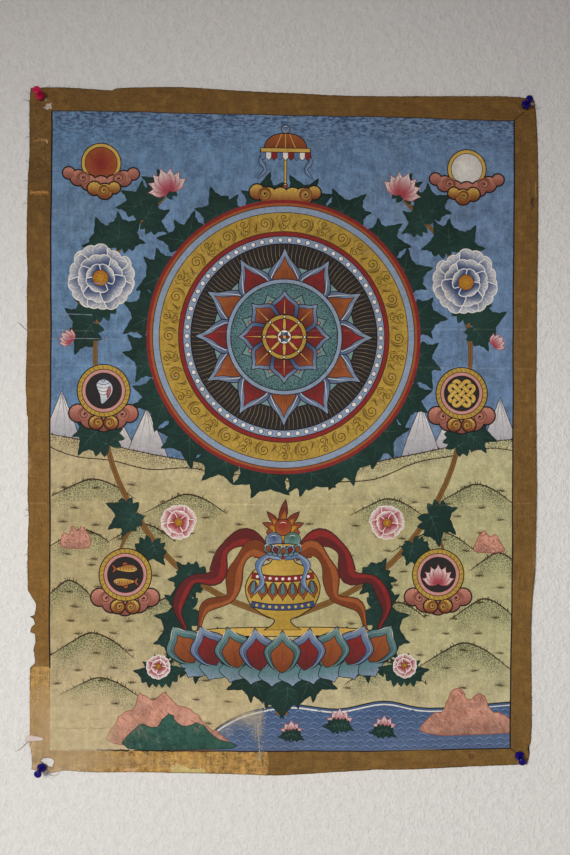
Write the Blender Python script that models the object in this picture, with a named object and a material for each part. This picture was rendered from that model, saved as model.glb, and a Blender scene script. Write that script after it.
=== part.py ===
"""A painted canvas hanging flat on a wall, held at its four corners by push pins.

Metres, +Z up. X runs to the viewer's right and Y into the wall. The wall is the plane Y = 0 and the
origin is on it, in the middle of the cloth's straight top line. Tables are in millimetres; "down" is
measured from that line, and a line is the straight edge that the cloth was cut to.
"""

import math
from collections import namedtuple

import bmesh
import bpy
from mathutils import Matrix, Vector
from mathutils.geometry import delaunay_2d_cdt

MM = 0.001

# The cloth, as cut
LEFT_LINE = -271.5
RIGHT_LINE = 273.3
TOP_LINE = 0.0
BOTTOM_LINE = 726.5
CLOTH_THICKNESS = 1.0
EDGE_STEP = 14.0
GRID_STEP = 15.0
GRID_MARGIN = 6.0

# A push pin: its plastic head and its steel needle
FLANGE_RADIUS = 5.15
FLANGE_FOOT_RADIUS = 4.7
FLANGE_RIM_HEIGHT = 1.2
FLANGE_TOP = 2.4
WAIST_RADIUS = 2.35
WAIST_HEIGHT = 5.6
CAP_RADIUS = 4.1
CAP_UNDERSIDE = 10.6
CAP_RIM_HEIGHT = 11.9
HEAD_LENGTH = 13.0
CAP_DIMPLE_DEPTH = 0.35
NEEDLE_RADIUS = 0.55
NEEDLE_REACH = 11.0
NEEDLE_TIP_LENGTH = 2.6
NEEDLE_IN_HEAD = 5.7
CLEARANCE = 0.3
PIERCE_RADIUS = 1.0
PIERCE_SIDES = 12
HEAD_SIDES = 28
NEEDLE_SIDES = 12

# Near a pin the cloth lies on the wall, and it is free to swell away from it further out
HELD_RADIUS = 24.0
FREE_RADIUS = 100.0

EdgePoint = namedtuple("EdgePoint", "along out")
Pin = namedtuple("Pin", "name colour x down lean_right lean_up")
Swell = namedtuple("Swell", "x down half_width half_height lift")

# How far each edge strays out of its line. Along is X on the top and bottom edges, and down on the sides.
TOP_EDGE = (
    EdgePoint(-270.5, -0.4),
    EdgePoint(-250.0, 0.7),
    EdgePoint(-226.0, 0.5),
    EdgePoint(-205.0, -0.6),
    EdgePoint(-185.0, -1.8),
    EdgePoint(-180.0, 0.2),
    EdgePoint(-150.0, 1.5),
    EdgePoint(-110.0, 2.8),
    EdgePoint(-80.0, 2.0),
    EdgePoint(-40.0, 0.3),
    EdgePoint(10.0, -1.6),
    EdgePoint(60.0, -3.4),
    EdgePoint(100.0, -3.0),
    EdgePoint(150.0, -1.7),
    EdgePoint(210.0, 0.2),
    EdgePoint(250.0, 0.2),
    EdgePoint(269.0, -2.4),
)
RIGHT_EDGE = (
    EdgePoint(2.4, -4.3),
    EdgePoint(15.0, -2.5),
    EdgePoint(35.0, -1.0),
    EdgePoint(75.0, 0.4),
    EdgePoint(160.0, 0.4),
    EdgePoint(215.0, -0.2),
    EdgePoint(275.0, 0.4),
    EdgePoint(315.0, -0.2),
    EdgePoint(425.0, 0.6),
    EdgePoint(475.0, -0.2),
    EdgePoint(515.0, -0.2),
    EdgePoint(540.0, -2.4),
    EdgePoint(575.0, -3.5),
    EdgePoint(635.0, -2.4),
    EdgePoint(675.0, -1.7),
    EdgePoint(699.0, -2.4),
    EdgePoint(703.0, -4.2),
    EdgePoint(713.0, -3.8),
    EdgePoint(723.1, -6.3),
)
BOTTOM_EDGE = (
    EdgePoint(-266.6, -2.0),
    EdgePoint(-261.9, -0.9),
    EdgePoint(-250.5, 1.2),
    EdgePoint(-245.2, 3.7),
    EdgePoint(-240.0, 1.5),
    EdgePoint(-232.3, -0.9),
    EdgePoint(-215.0, 0.7),
    EdgePoint(-190.0, 1.5),
    EdgePoint(-150.0, 0.9),
    EdgePoint(-110.0, 1.3),
    EdgePoint(-70.0, 2.1),
    EdgePoint(-30.0, 3.5),
    EdgePoint(-8.0, 4.2),
    EdgePoint(30.0, 2.3),
    EdgePoint(60.0, 0.5),
    EdgePoint(94.5, -0.8),
    EdgePoint(98.0, -1.5),
    EdgePoint(130.0, -0.9),
    EdgePoint(170.0, -1.7),
    EdgePoint(230.0, -2.2),
    EdgePoint(267.0, -3.4),
)
LEFT_EDGE_ABOVE_TEAR = (
    EdgePoint(0.4, -1.0),
    EdgePoint(15.0, 0.3),
    EdgePoint(75.0, 0.2),
    EdgePoint(95.0, 1.4),
    EdgePoint(130.0, 1.9),
    EdgePoint(175.0, 2.1),
    EdgePoint(195.0, 1.3),
    EdgePoint(215.0, 1.9),
    EdgePoint(255.0, 1.4),
    EdgePoint(295.0, 2.3),
    EdgePoint(318.0, 2.5),
    EdgePoint(335.0, 1.4),
    EdgePoint(346.0, 1.0),
    EdgePoint(350.0, -0.3),
    EdgePoint(375.0, -0.4),
    EdgePoint(395.0, -0.7),
    EdgePoint(435.0, -0.4),
    EdgePoint(455.0, -1.7),
    EdgePoint(475.0, -0.9),
    EdgePoint(515.0, -0.1),
    EdgePoint(531.2, -0.6),
)
# A strip is torn off the left edge, with two stubs of it left standing
TEAR = (
    EdgePoint(534.4, -1.1),
    EdgePoint(538.6, -4.0),
    EdgePoint(542.9, -6.7),
    EdgePoint(548.2, -9.4),
    EdgePoint(555.7, -8.8),
    EdgePoint(559.4, -8.0),
    EdgePoint(561.2, -3.0),
    EdgePoint(563.8, -6.7),
    EdgePoint(569.2, -8.3),
    EdgePoint(572.3, -4.5),
    EdgePoint(577.7, -3.2),
    EdgePoint(579.9, -8.3),
    EdgePoint(589.3, -9.0),
    EdgePoint(593.0, -7.5),
    EdgePoint(597.3, -6.5),
    EdgePoint(602.6, -7.7),
    EdgePoint(608.0, -8.6),
    EdgePoint(611.2, -8.2),
    EdgePoint(615.6, -3.4),
)
# Below it a torn tab is folded over, and its fold stands out of the edge
LEFT_EDGE_BELOW_TEAR = (
    EdgePoint(620.7, -3.0),
    EdgePoint(655.0, -2.8),
    EdgePoint(687.4, -3.1),
    EdgePoint(689.6, -0.8),
    EdgePoint(694.7, -0.9),
    EdgePoint(696.0, -2.7),
    EdgePoint(707.2, -4.8),
    EdgePoint(715.3, -5.5),
    EdgePoint(724.5, -4.9),
)

# The hole torn above the lower left pin: its corners, as X and down
TORN_HOLE = (
    (-257.8, 715.4),
    (-253.4, 712.3),
    (-245.3, 713.0),
    (-242.3, 715.5),
    (-244.5, 722.0),
    (-249.6, 721.4),
    (-253.9, 717.9),
)

PINS = (
    Pin("upper_left", "pink", -260.1, 8.8, -4.1, 6.9),
    Pin("upper_right", "blue", 259.3, 8.9, 1.3, 10.2),
    Pin("lower_left", "blue", -254.9, 721.6, -6.9, -11.4),
    Pin("lower_right", "blue", 257.9, 712.5, -2.6, -11.3),
)

# Where the slack cloth stands off the wall
SWELLS = (
    Swell(70.0, 726.0, 150.0, 70.0, 6.5),
    Swell(-95.0, 715.0, 70.0, 55.0, 2.6),
    Swell(262.0, 455.0, 45.0, 120.0, 3.6),
    Swell(266.0, 170.0, 36.0, 80.0, 1.9),
    Swell(-265.0, 420.0, 42.0, 130.0, 3.0),
    Swell(-262.0, 150.0, 34.0, 70.0, 1.8),
    Swell(-150.0, 4.0, 60.0, 42.0, 2.8),
    Swell(70.0, 6.0, 95.0, 48.0, 3.4),
    Swell(-60.0, 250.0, 130.0, 90.0, 2.4),
    Swell(95.0, 395.0, 120.0, 85.0, 2.2),
    Swell(-70.0, 560.0, 125.0, 75.0, 2.6),
)
# The cloth is pushed up into a small ripple beside the lower left pin
RIPPLE = Swell(-243.5, 728.0, 5.5, 8.0, 2.2)

PIN_COLOURS = {"pink": (0.30, 0.012, 0.046), "blue": (0.012, 0.003, 0.095)}
CLOTH_COLOUR = (0.155, 0.125, 0.075)
STEEL_COLOUR = (0.55, 0.55, 0.56)


def material(name, colour, roughness, metallic=0.0):
    found = bpy.data.materials.get(name)
    if found:
        return found
    made = bpy.data.materials.new(name)
    made.use_nodes = True
    shader = made.node_tree.nodes["Principled BSDF"]
    shader.inputs["Base Color"].default_value = (*colour, 1.0)
    shader.inputs["Roughness"].default_value = roughness
    shader.inputs["Metallic"].default_value = metallic
    return made


def add_object(name, mesh_data, finish, smooth_angle=None):
    """Puts a bmesh into the scene as an object, and frees it."""
    mesh = bpy.data.meshes.new(name)
    bmesh.ops.recalc_face_normals(mesh_data, faces=mesh_data.faces)
    mesh_data.to_mesh(mesh)
    mesh_data.free()
    if smooth_angle is not None:
        mesh.shade_smooth()
        mesh.set_sharp_from_angle(angle=smooth_angle)
    mesh.materials.append(finish)
    made = bpy.data.objects.new(name, mesh)
    bpy.context.scene.collection.objects.link(made)
    return made


def smooth_step(value):
    held = min(max(value, 0.0), 1.0)
    return held * held * (3.0 - 2.0 * held)


def filled_in(rows):
    """The rows of an edge, with points added on a smooth curve where they stand far apart."""
    points = []
    for number, (first, second) in enumerate(zip(rows, rows[1:])):
        before = rows[max(number - 1, 0)]
        after = rows[min(number + 2, len(rows) - 1)]
        gap = second.along - first.along
        slope_in = gap * (second.out - before.out) / (second.along - before.along)
        slope_out = gap * (after.out - first.out) / (after.along - first.along)
        steps = max(1, round(gap / EDGE_STEP))
        for step in range(steps):
            t = step / steps
            out = (
                (2 * t**3 - 3 * t**2 + 1) * first.out
                + (t**3 - 2 * t**2 + t) * slope_in
                + (3 * t**2 - 2 * t**3) * second.out
                + (t**3 - t**2) * slope_out
            )
            points.append(EdgePoint(first.along + t * gap, out))
    points.append(rows[-1])
    return points


def cloth_outline():
    """The cloth's outline as (X, down) points, clockwise as the viewer sees it."""
    top = [(p.along, TOP_LINE - p.out) for p in filled_in(TOP_EDGE)]
    right = [(RIGHT_LINE + p.out, p.along) for p in filled_in(RIGHT_EDGE)]
    bottom = [(p.along, BOTTOM_LINE + p.out) for p in filled_in(BOTTOM_EDGE)]
    left_rows = filled_in(LEFT_EDGE_ABOVE_TEAR) + list(TEAR) + filled_in(LEFT_EDGE_BELOW_TEAR)
    left = [(LEFT_LINE - p.out, p.along) for p in left_rows]
    return top[:-1] + right[:-1] + bottom[:0:-1] + left[:0:-1]


def ring(x, down, radius, sides):
    turns = [2.0 * math.pi * number / sides for number in range(sides)]
    return [(x + radius * math.cos(turn), down + radius * math.sin(turn)) for turn in turns]


def swell_lift(swell, x, down):
    across = (x - swell.x) / swell.half_width
    along = (down - swell.down) / swell.half_height
    return swell.lift * math.exp(-(across**2) - along**2)


def cloth_lift(x, down):
    """How far the cloth's back stands off the wall at a point."""
    freedom = 1.0
    for pin in PINS:
        distance = math.hypot(x - pin.x, down - pin.down)
        freedom *= smooth_step((distance - HELD_RADIUS) / (FREE_RADIUS - HELD_RADIUS))
    slack = sum(swell_lift(swell, x, down) for swell in SWELLS)
    return freedom * slack + swell_lift(RIPPLE, x, down)


def edge_distance(x, down, outline):
    """The distance from a point to the nearest side of an outline."""
    here = Vector((x, down))
    nearest = math.inf
    for first, second in zip(outline, outline[1:] + outline[:1]):
        start, side = Vector(first), Vector(second) - Vector(first)
        share = min(max((here - start).dot(side) / side.length_squared, 0.0), 1.0)
        nearest = min(nearest, (here - start - share * side).length)
    return nearest


def inside(x, down, outline):
    crossings = 0
    for (x1, d1), (x2, d2) in zip(outline, outline[1:] + outline[:1]):
        if (d1 > down) != (d2 > down) and x < x1 + (down - d1) / (d2 - d1) * (x2 - x1):
            crossings += 1
    return crossings % 2 == 1


def cloth_triangles(outline, holes):
    """Triangles over the cloth: its points as (X, down), and its faces, with the holes left open."""
    points = []
    loops = []
    for loop in [outline, *holes]:
        loops.append(list(range(len(points), len(points) + len(loop))))
        points.extend(loop)
    columns = round((RIGHT_LINE - LEFT_LINE) / GRID_STEP)
    rows = round((BOTTOM_LINE - TOP_LINE) / GRID_STEP)
    for row in range(1, rows):
        for column in range(1, columns):
            x = LEFT_LINE + (RIGHT_LINE - LEFT_LINE) * column / columns
            down = TOP_LINE + (BOTTOM_LINE - TOP_LINE) * row / rows
            if not inside(x, down, outline) or edge_distance(x, down, outline) < GRID_MARGIN:
                continue
            if all(edge_distance(x, down, hole) > GRID_MARGIN for hole in holes):
                points.append((x, down))
    found = delaunay_2d_cdt([Vector(p) for p in points], [], loops, 1, 1e-5, True)
    flat_points, faces, sources = found[0], found[2], found[5]
    kept = [tuple(face) for face, loops_over in zip(faces, sources) if list(loops_over) == [0]]
    return [(p.x, p.y) for p in flat_points], kept


def add_canvas():
    outline = cloth_outline()
    holes = [list(TORN_HOLE)] + [ring(p.x, p.down, PIERCE_RADIUS, PIERCE_SIDES) for p in PINS]
    points, faces = cloth_triangles(outline, holes)
    cloth = bmesh.new()
    back = [cloth.verts.new((x * MM, -cloth_lift(x, down) * MM, -down * MM)) for x, down in points]
    for face in faces:
        cloth.faces.new([back[number] for number in face])
    loose = [vertex for vertex in cloth.verts if not vertex.link_faces]
    bmesh.ops.delete(cloth, geom=loose, context="VERTS")
    shell = bmesh.ops.extrude_face_region(cloth, geom=cloth.faces[:] + cloth.edges[:])
    front = [item for item in shell["geom"] if isinstance(item, bmesh.types.BMVert)]
    bmesh.ops.translate(cloth, verts=front, vec=(0.0, -CLOTH_THICKNESS * MM, 0.0))
    add_object("canvas", cloth, material("painted_canvas", CLOTH_COLOUR, 0.8))


def turned(profile, sides):
    """A closed solid turned about Z from (radius, height) points that start and end on the axis."""
    solid = bmesh.new()
    corners = [solid.verts.new((radius * MM, 0.0, height * MM)) for radius, height in profile]
    line = [solid.edges.new(pair) for pair in zip(corners, corners[1:])]
    bmesh.ops.spin(
        solid,
        geom=corners + line,
        cent=(0.0, 0.0, 0.0),
        axis=(0.0, 0.0, 1.0),
        angle=2.0 * math.pi,
        steps=sides,
        use_merge=True,
    )
    bmesh.ops.remove_doubles(solid, verts=solid.verts, dist=1e-6)
    return solid


def arc(centre_radius, centre_height, size, start, end, steps):
    """Points on a quarter or half circle of a profile, from one angle to another in degrees."""
    turns = [math.radians(start + (end - start) * number / steps) for number in range(steps + 1)]
    return [
        (centre_radius + size * math.cos(turn), centre_height + size * math.sin(turn))
        for turn in turns
    ]


def head_profile():
    """From the socket for the needle, round the flange, up the waist and over the cap."""
    socket_radius = NEEDLE_RADIUS + CLEARANCE
    rim = FLANGE_RADIUS - FLANGE_FOOT_RADIUS
    cap_rim = HEAD_LENGTH - CAP_RIM_HEIGHT
    return [
        (0.0, NEEDLE_IN_HEAD + CLEARANCE),
        (socket_radius, NEEDLE_IN_HEAD + CLEARANCE),
        (socket_radius, 0.0),
        (FLANGE_FOOT_RADIUS, 0.0),
        (FLANGE_FOOT_RADIUS + 0.7 * rim, 0.35 * FLANGE_RIM_HEIGHT),
        (FLANGE_RADIUS, FLANGE_RIM_HEIGHT),
        (FLANGE_RADIUS - 0.5, FLANGE_RIM_HEIGHT + 0.7),
        (FLANGE_RADIUS - 1.6, FLANGE_TOP),
        (WAIST_RADIUS + 0.35, FLANGE_TOP + 0.9),
        (WAIST_RADIUS, WAIST_HEIGHT),
        (WAIST_RADIUS + 0.3, 0.5 * (WAIST_HEIGHT + CAP_UNDERSIDE)),
        (WAIST_RADIUS + 0.9, CAP_UNDERSIDE - 0.5),
        (CAP_RADIUS - 0.35, CAP_UNDERSIDE + 0.2),
        *arc(CAP_RADIUS - cap_rim, CAP_RIM_HEIGHT, cap_rim, 0.0, 90.0, 4),
        (0.45 * CAP_RADIUS, HEAD_LENGTH - 0.3 * CAP_DIMPLE_DEPTH),
        (0.0, HEAD_LENGTH - CAP_DIMPLE_DEPTH),
    ]


def needle_profile():
    return [
        (0.0, NEEDLE_IN_HEAD),
        (NEEDLE_RADIUS, NEEDLE_IN_HEAD),
        (NEEDLE_RADIUS, NEEDLE_TIP_LENGTH - NEEDLE_REACH),
        (0.5 * NEEDLE_RADIUS, 0.4 * NEEDLE_TIP_LENGTH - NEEDLE_REACH),
        (0.0, -NEEDLE_REACH),
    ]


def pin_placement(pin):
    """Stands a turned pin on the cloth's face, leaning, with its flange just clear of it."""
    out = Vector(
        (math.tan(math.radians(pin.lean_right)), -1.0, math.tan(math.radians(pin.lean_up)))
    ).normalized()
    lean = out.angle(Vector((0.0, -1.0, 0.0)))
    stand_off = FLANGE_FOOT_RADIUS * math.sin(lean) + CLEARANCE
    pierced = Vector((pin.x, -CLOTH_THICKNESS, -pin.down))
    turn = Vector((0.0, 0.0, 1.0)).rotation_difference(out).to_matrix().to_4x4()
    return Matrix.Translation((pierced + stand_off * out) * MM) @ turn


def add_pin(pin):
    plastic = material(f"{pin.colour}_plastic", PIN_COLOURS[pin.colour], 0.25)
    steel = material("pin_steel", STEEL_COLOUR, 0.3, metallic=1.0)
    place = pin_placement(pin)
    head = add_object(
        f"pin_head_{pin.name}", turned(head_profile(), HEAD_SIDES), plastic, math.radians(40)
    )
    needle = add_object(
        f"pin_needle_{pin.name}", turned(needle_profile(), NEEDLE_SIDES), steel, math.radians(40)
    )
    head.matrix_world = place
    needle.matrix_world = place


def main():
    for old in list(bpy.data.objects):
        bpy.data.objects.remove(old, do_unlink=True)
    add_canvas()
    for pin in PINS:
        add_pin(pin)


main()
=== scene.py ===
import math
import random
from types import SimpleNamespace

import bmesh
import bpy
import numpy as np
from mathutils import Matrix, Vector, kdtree
from mathutils.bvhtree import BVHTree
from mathutils.geometry import delaunay_2d_cdt


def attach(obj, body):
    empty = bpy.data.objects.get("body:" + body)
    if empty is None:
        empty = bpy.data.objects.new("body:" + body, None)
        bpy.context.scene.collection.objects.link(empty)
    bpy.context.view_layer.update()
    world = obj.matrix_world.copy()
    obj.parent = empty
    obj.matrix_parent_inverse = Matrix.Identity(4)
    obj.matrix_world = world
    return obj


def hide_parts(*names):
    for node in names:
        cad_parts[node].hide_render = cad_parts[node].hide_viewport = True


# A painted cotton canvas pinned flat to a wall. The picture is drawn on it as flat shapes, in millimetres
# from the middle of the painted panel: a point is a complex number, x to the right and y up.

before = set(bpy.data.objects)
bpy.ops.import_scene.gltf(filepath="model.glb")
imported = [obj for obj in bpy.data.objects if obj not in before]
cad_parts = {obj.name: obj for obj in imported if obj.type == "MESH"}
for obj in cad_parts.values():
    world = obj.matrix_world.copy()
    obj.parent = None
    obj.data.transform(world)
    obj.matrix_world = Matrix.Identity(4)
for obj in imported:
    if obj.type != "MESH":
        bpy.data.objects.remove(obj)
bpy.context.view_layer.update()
fullTurn = 2 * math.pi
panelMiddle = 364.8  # mm from the cloth's top line down to the middle of the panel


def toFrame(point, depth=0.0):
    return Vector((point.real / 1000, depth, (point.imag - panelMiddle) / 1000))


def linear(colour):  # from a colour as seen on a screen, 0 to 255
    share = np.asarray(colour, float) / 255
    return np.where(share <= 0.04045, share / 12.92, ((share + 0.055) / 1.055) ** 2.4)


def linked(thing):
    bpy.context.scene.collection.objects.link(thing)
    return thing


# ---- camera and light

shot = {"place": (-0.0290, -0.8933, -0.3538), "yaw": -0.0340, "pitch": -0.0055, "roll": -0.0063,
        "lens": 35.03}


def addCamera():
    camera = linked(bpy.data.objects.new("camera", bpy.data.cameras.new("camera")))
    camera.data.lens = shot["lens"]
    camera.data.sensor_width = 36
    camera.data.clip_start = 0.01
    aim = Matrix.Rotation(shot["yaw"], 4, "Z") @ Matrix.Rotation(shot["pitch"], 4, "X")
    aim = aim @ Matrix.Rotation(shot["roll"], 4, "Y") @ Matrix.Rotation(math.pi / 2, 4, "X")
    camera.matrix_world = Matrix.Translation(shot["place"]) @ aim
    bpy.context.scene.camera = camera


studio = {
    "lamp": {"place": (-1.272, -2.871, 0.202), "aim": (0.009, 0.0, -1.142), "power": 274, "radius": 0.42,
             "cone": 0.79, "soft": 0.4, "tint": (1.0, 0.99, 0.955)},
    # lights the back of the cloth, through the wall, for views from behind
    "backLamp": {"place": (-0.9, 2.4, 0.5), "aim": (0.0, 0.0, -0.36), "power": 150, "radius": 0.4,
                 "cone": 0.42, "soft": 0.5, "tint": (1.0, 1.0, 1.0)},
    "sky": (0.198, 0.18, 0.185),
    "wall": (0.856, 0.842, 0.818),
}


def addLights():
    for name in ("lamp", "backLamp"):
        kind = studio[name]
        lamp = linked(bpy.data.objects.new(name, bpy.data.lights.new(name, "SPOT")))
        lamp.data.energy = kind["power"]
        lamp.data.shadow_soft_size = kind["radius"]
        lamp.data.spot_size = kind["cone"]
        lamp.data.spot_blend = kind["soft"]
        lamp.data.color = kind["tint"]
        lamp.location = kind["place"]
        lamp.rotation_euler = (Vector(kind["aim"]) - lamp.location).to_track_quat("-Z", "Y").to_euler()
    world = bpy.data.worlds.new("studio")
    world.use_nodes = True
    world.node_tree.nodes["Background"].inputs["Color"].default_value = (*studio["sky"], 1)
    bpy.context.scene.world = world
    bpy.context.scene.view_settings.view_transform = "Standard"


# ---- materials


class Signal:  # an output socket; sums on it add their Math nodes
    def __init__(self, finish, socket):
        self.finish = finish
        self.socket = socket

    def work(self, operation, first, second=0.0):
        return self.finish.add("ShaderNodeMath", {"operation": operation}, {0: first, 1: second})

    def __add__(self, other):
        return self.work("ADD", self, other)

    def __radd__(self, other):
        return self.work("ADD", other, self)

    def __sub__(self, other):
        return self.work("SUBTRACT", self, other)

    def __rsub__(self, other):
        return self.work("SUBTRACT", other, self)

    def __mul__(self, other):
        return self.work("MULTIPLY", self, other)

    def __rmul__(self, other):
        return self.work("MULTIPLY", other, self)

    def orMore(self, other):
        return self.work("MAXIMUM", self, other)

    def swing(self, amount):  # a noise as a change up and down
        return amount * (self - 0.5)

    def part(self, name):  # another output of the same node
        return Signal(self.finish, self.socket.node.outputs[name])


class Finish:  # a material and the ways to add nodes to it
    def __init__(self, name, **constants):
        self.material = bpy.data.materials.new(name)
        self.material.use_nodes = True
        self.tree = self.material.node_tree
        self.shader = self.tree.nodes["Principled BSDF"]
        for socket, value in constants.items():
            self.shader.inputs[socket.replace("_", " ")].default_value = value
        self.place = self.add("ShaderNodeTexCoord", None, None, "Object")

    def plug(self, socket, value):
        if isinstance(value, Signal):
            self.tree.links.new(value.socket, socket)
        elif hasattr(socket.default_value,
                     "__len__") and len(socket.default_value) == 4 and len(value) == 3:
            socket.default_value = (*value, 1)
        else:
            socket.default_value = value

    def add(self, kind, settings=None, inputs=None, output=0):
        node = self.tree.nodes.new(kind)
        for setting, value in (settings or {}).items():
            setattr(node, setting, value)
        for socket, value in (inputs or {}).items():
            self.plug(node.inputs[socket], value)
        return Signal(self, node.outputs[output])

    def noise(self, size, detail=3.0, roughness=0.55, offset=0.0, vector=None):  # size in metres
        shift = {0: vector or self.place, 1: (offset, offset, offset)}
        spot = self.add("ShaderNodeVectorMath", {"operation": "ADD"}, shift)
        values = {"Vector": spot, "Scale": 1 / size, "Detail": detail, "Roughness": roughness}
        return self.add("ShaderNodeTexNoise", None, values)

    def stretched(self, sizes, detail=2.0, offset=0.0):  # noise with its own size in x, y and z
        rates = tuple(1 / size for size in sizes)
        spot = self.add("ShaderNodeVectorMath", {"operation": "MULTIPLY"}, {0: self.place, 1: rates})
        return self.noise(1.0, detail, 0.55, offset, spot)

    def cells(self, sizes):  # 0 at the middle of each cell of a spread of dots in x and z
        rates = tuple(1 / size for size in sizes)
        values = {"Vector": self.place, "Rotation": (-math.pi / 2, 0, 0), "Scale": rates}
        spot = self.add("ShaderNodeMapping", {"vector_type": "POINT"}, values)
        values = {"Vector": spot, "Scale": 1.0, "Randomness": 0.85}
        return self.add("ShaderNodeTexVoronoi", {"voronoi_dimensions": "2D"}, values)

    def between(self, value, low, high):  # a soft step
        values = {"Value": value, "From Min": low, "From Max": high}
        return self.add("ShaderNodeMapRange", {"interpolation_type": "SMOOTHSTEP"}, values)

    def mix(self, amount, first, second, blend="MIX"):
        settings = {"data_type": "RGBA", "blend_type": blend}
        return self.add("ShaderNodeMix", settings, {0: amount, 6: first, 7: second}, 2)

    def times(self, first, second):
        return self.mix(1.0, first, second, "MULTIPLY")

    def attribute(self, name, output="Fac"):
        return self.add("ShaderNodeAttribute", {"attribute_name": name}, None, output)

    def grey(self, value):  # one number as a colour
        return self.add("ShaderNodeCombineColor", None, {0: value, 1: value, 2: value})

    def bump(self, height, distance, strength=1.0):
        node = self.add("ShaderNodeBump", None,
                        {"Strength": strength, "Distance": distance, "Height": height})
        self.plug(self.shader.inputs["Normal"], node)

    def set(self, **links):
        for socket, value in links.items():
            self.plug(self.shader.inputs[socket.replace("_", " ")], value)


# ---- drawing

panel = {
    "corners": (-247.2-339.3j, 248.2-340.7j, 247.3+339.3j, -248.3+340.7j),
    "horizon": (-250-2j, -190-13j, -120-27j, -40-36j, 60-36j, 130-24j, 195-11j, 250-5j),
    "shore": (-84-342j, -74-320j, -54-306j, -30-297j, 10-291j, 60-296j, 110-288j, 160-296j, 250-290j),
    "wheel": (0, 103),
    "vase": (0, -166),
    # middle of the foot or the top, width, height
    "peaks": (
        (-206, -18, 34, 52), (-236, -14, 42, 58), (-176, -24, 40, 40), (-146, -28, 46, 54),
        (178, -24, 40, 44), (148, -26, 44, 58), (206, -18, 30, 34), (234, -16, 40, 56),
    ),
    "hills": (
        (-204, -50, 92, 20), (208, -54, 86, 22), (-104, -66, 88, 20), (112, -70, 80, 18),
        (-214, -104, 76, 20), (-150, -98, 70, 18), (164, -104, 96, 24), (232, -128, 60, 20),
        (-228, -158, 60, 24), (218, -178, 76, 24), (-122, -176, 60, 16), (124, -182, 60, 16),
        (-204, -214, 92, 26), (196, -226, 104, 28), (-104, -238, 96, 24), (112, -246, 90, 24),
        (-196, -262, 88, 20),
    ),
}


def polar(degrees):  # a step of length 1 in a direction
    return np.exp(1j * np.radians(degrees))


class Spot:  # where and how big a motif is drawn; flipped turns it over its own x axis
    def __init__(self, x=0.0, y=0.0, turn=0.0, size=1.0, flipped=False):
        self.origin = complex(x, y)
        self.factor = size * polar(turn)
        self.flipped = flipped

    def at(self, points):
        points = np.asarray(points, complex)
        return self.origin + self.factor * (np.conj(points) if self.flipped else points)

    def near(self, x=0.0, y=0.0, turn=0.0, size=1.0, flipped=False):
        child = Spot(size=size, turn=turn)
        child.origin = complex(self.at(complex(x, y)))
        child.factor = self.factor * (np.conj(child.factor) if self.flipped else child.factor)
        child.flipped = self.flipped != flipped
        return child


here = Spot()


def bothSides(x, y, turn=0.0, size=1.0):  # the same motif left and right of the middle
    yield Spot(x, y, turn, size)
    yield Spot(-x, y, 180 - turn, size, flipped=True)


def circle(radius, count=40, centre=0.0):
    return centre + radius * np.exp(1j * fullTurn * np.arange(count) / count)


def arcLine(radius, start, end, count=12, centre=0.0):
    return centre + radius * polar(np.linspace(start, end, count))


def spiral(radius, turns, start=0.0, inner=0.12):
    share = np.linspace(0, 1, int(14 * turns) + 2)
    angle = math.radians(start) + fullTurn * turns * share
    return radius * (1 - (1 - inner) * share) * np.exp(1j * angle)


def smooth(points, steps=5, closed=True):
    points = np.asarray(points, complex)
    if closed:
        before, after, beyond = np.roll(points, 1), np.roll(points, -1), np.roll(points, -2)
    else:
        longer = np.concatenate([[2 * points[0] - points[1]], points, [2 * points[-1] - points[-2]]])
        before, after, beyond = longer[:-3], longer[2:-1], longer[3:]
        points = longer[1:-2]
    t = np.arange(steps) / steps
    curve = (
        2 * points[:, None]
        + (after - before)[:, None] * t
        + (2 * before - 5 * points + 4 * after - beyond)[:, None] * t**2
        + (3 * points - before - 3 * after + beyond)[:, None] * t**3
    ) / 2
    curve = curve.ravel()
    return curve if closed else np.append(curve, after[-1])


def bulged(points, bulge, steps=3):  # each side of a closed outline becomes an arc
    points = np.asarray(points, complex)
    side = np.roll(points, -1) - points
    t = np.arange(steps) / steps
    return (points[:, None] + side[:, None] * (t - 4j * bulge * t * (1 - t))).ravel()


def heightAt(x, line):  # of a line that runs from left to right
    return np.interp(x, line.real, line.imag)


def area(loop):
    return 0.5 * np.sum((np.conj(loop) * np.roll(loop, -1)).imag)


def grown(loop, distance):  # an outline moved outwards
    ahead = np.roll(loop, -1) - loop
    ahead = ahead / np.maximum(np.abs(ahead), 1e-9)
    behind = np.roll(ahead, 1)
    sharp = np.maximum(1 + (ahead * np.conj(behind)).real, 0.3)
    return loop - 1j * distance * (ahead + behind) / sharp


def ribbon(line, widths):  # the outline of a brush stroke
    line = np.asarray(line, complex)
    ahead = np.gradient(line)
    side = 1j * ahead / np.maximum(np.abs(ahead), 1e-9) * np.asarray(widths) / 2
    return np.concatenate([line - side, (line + side)[::-1]])


def thinned(loop, slack=0.08):  # fewer points where an outline is nearly straight
    for sweep in range(2):
        before, after = np.roll(loop, 1), np.roll(loop, -1)
        chord = after - before
        off = np.abs((np.conj(chord) * (loop - before)).imag) / np.maximum(np.abs(chord), 1e-9)
        spare = (off < slack) & (((loop - before) * np.conj(after - loop)).real > 0)
        spare[1 - sweep :: 2] = False
        if len(loop) - spare.sum() < 6:
            break
        loop = loop[~spare]
    return loop


def clipped(loop, window):  # what of an outline lies inside a convex window
    for start, end in zip(window, np.roll(window, -1)):
        side = (np.conj(end - start) * (loop - start)).imag
        if (side >= 0).all():
            continue
        kept = []
        for first, second, near, far in zip(loop, np.roll(loop, -1), side, np.roll(side, -1)):
            if near >= 0:
                kept.append(first)
            if (near >= 0) != (far >= 0):
                kept.append(first + (second - first) * near / (near - far))
        loop = np.array(kept, complex)
        if len(loop) < 3:
            return loop
    return loop


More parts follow.
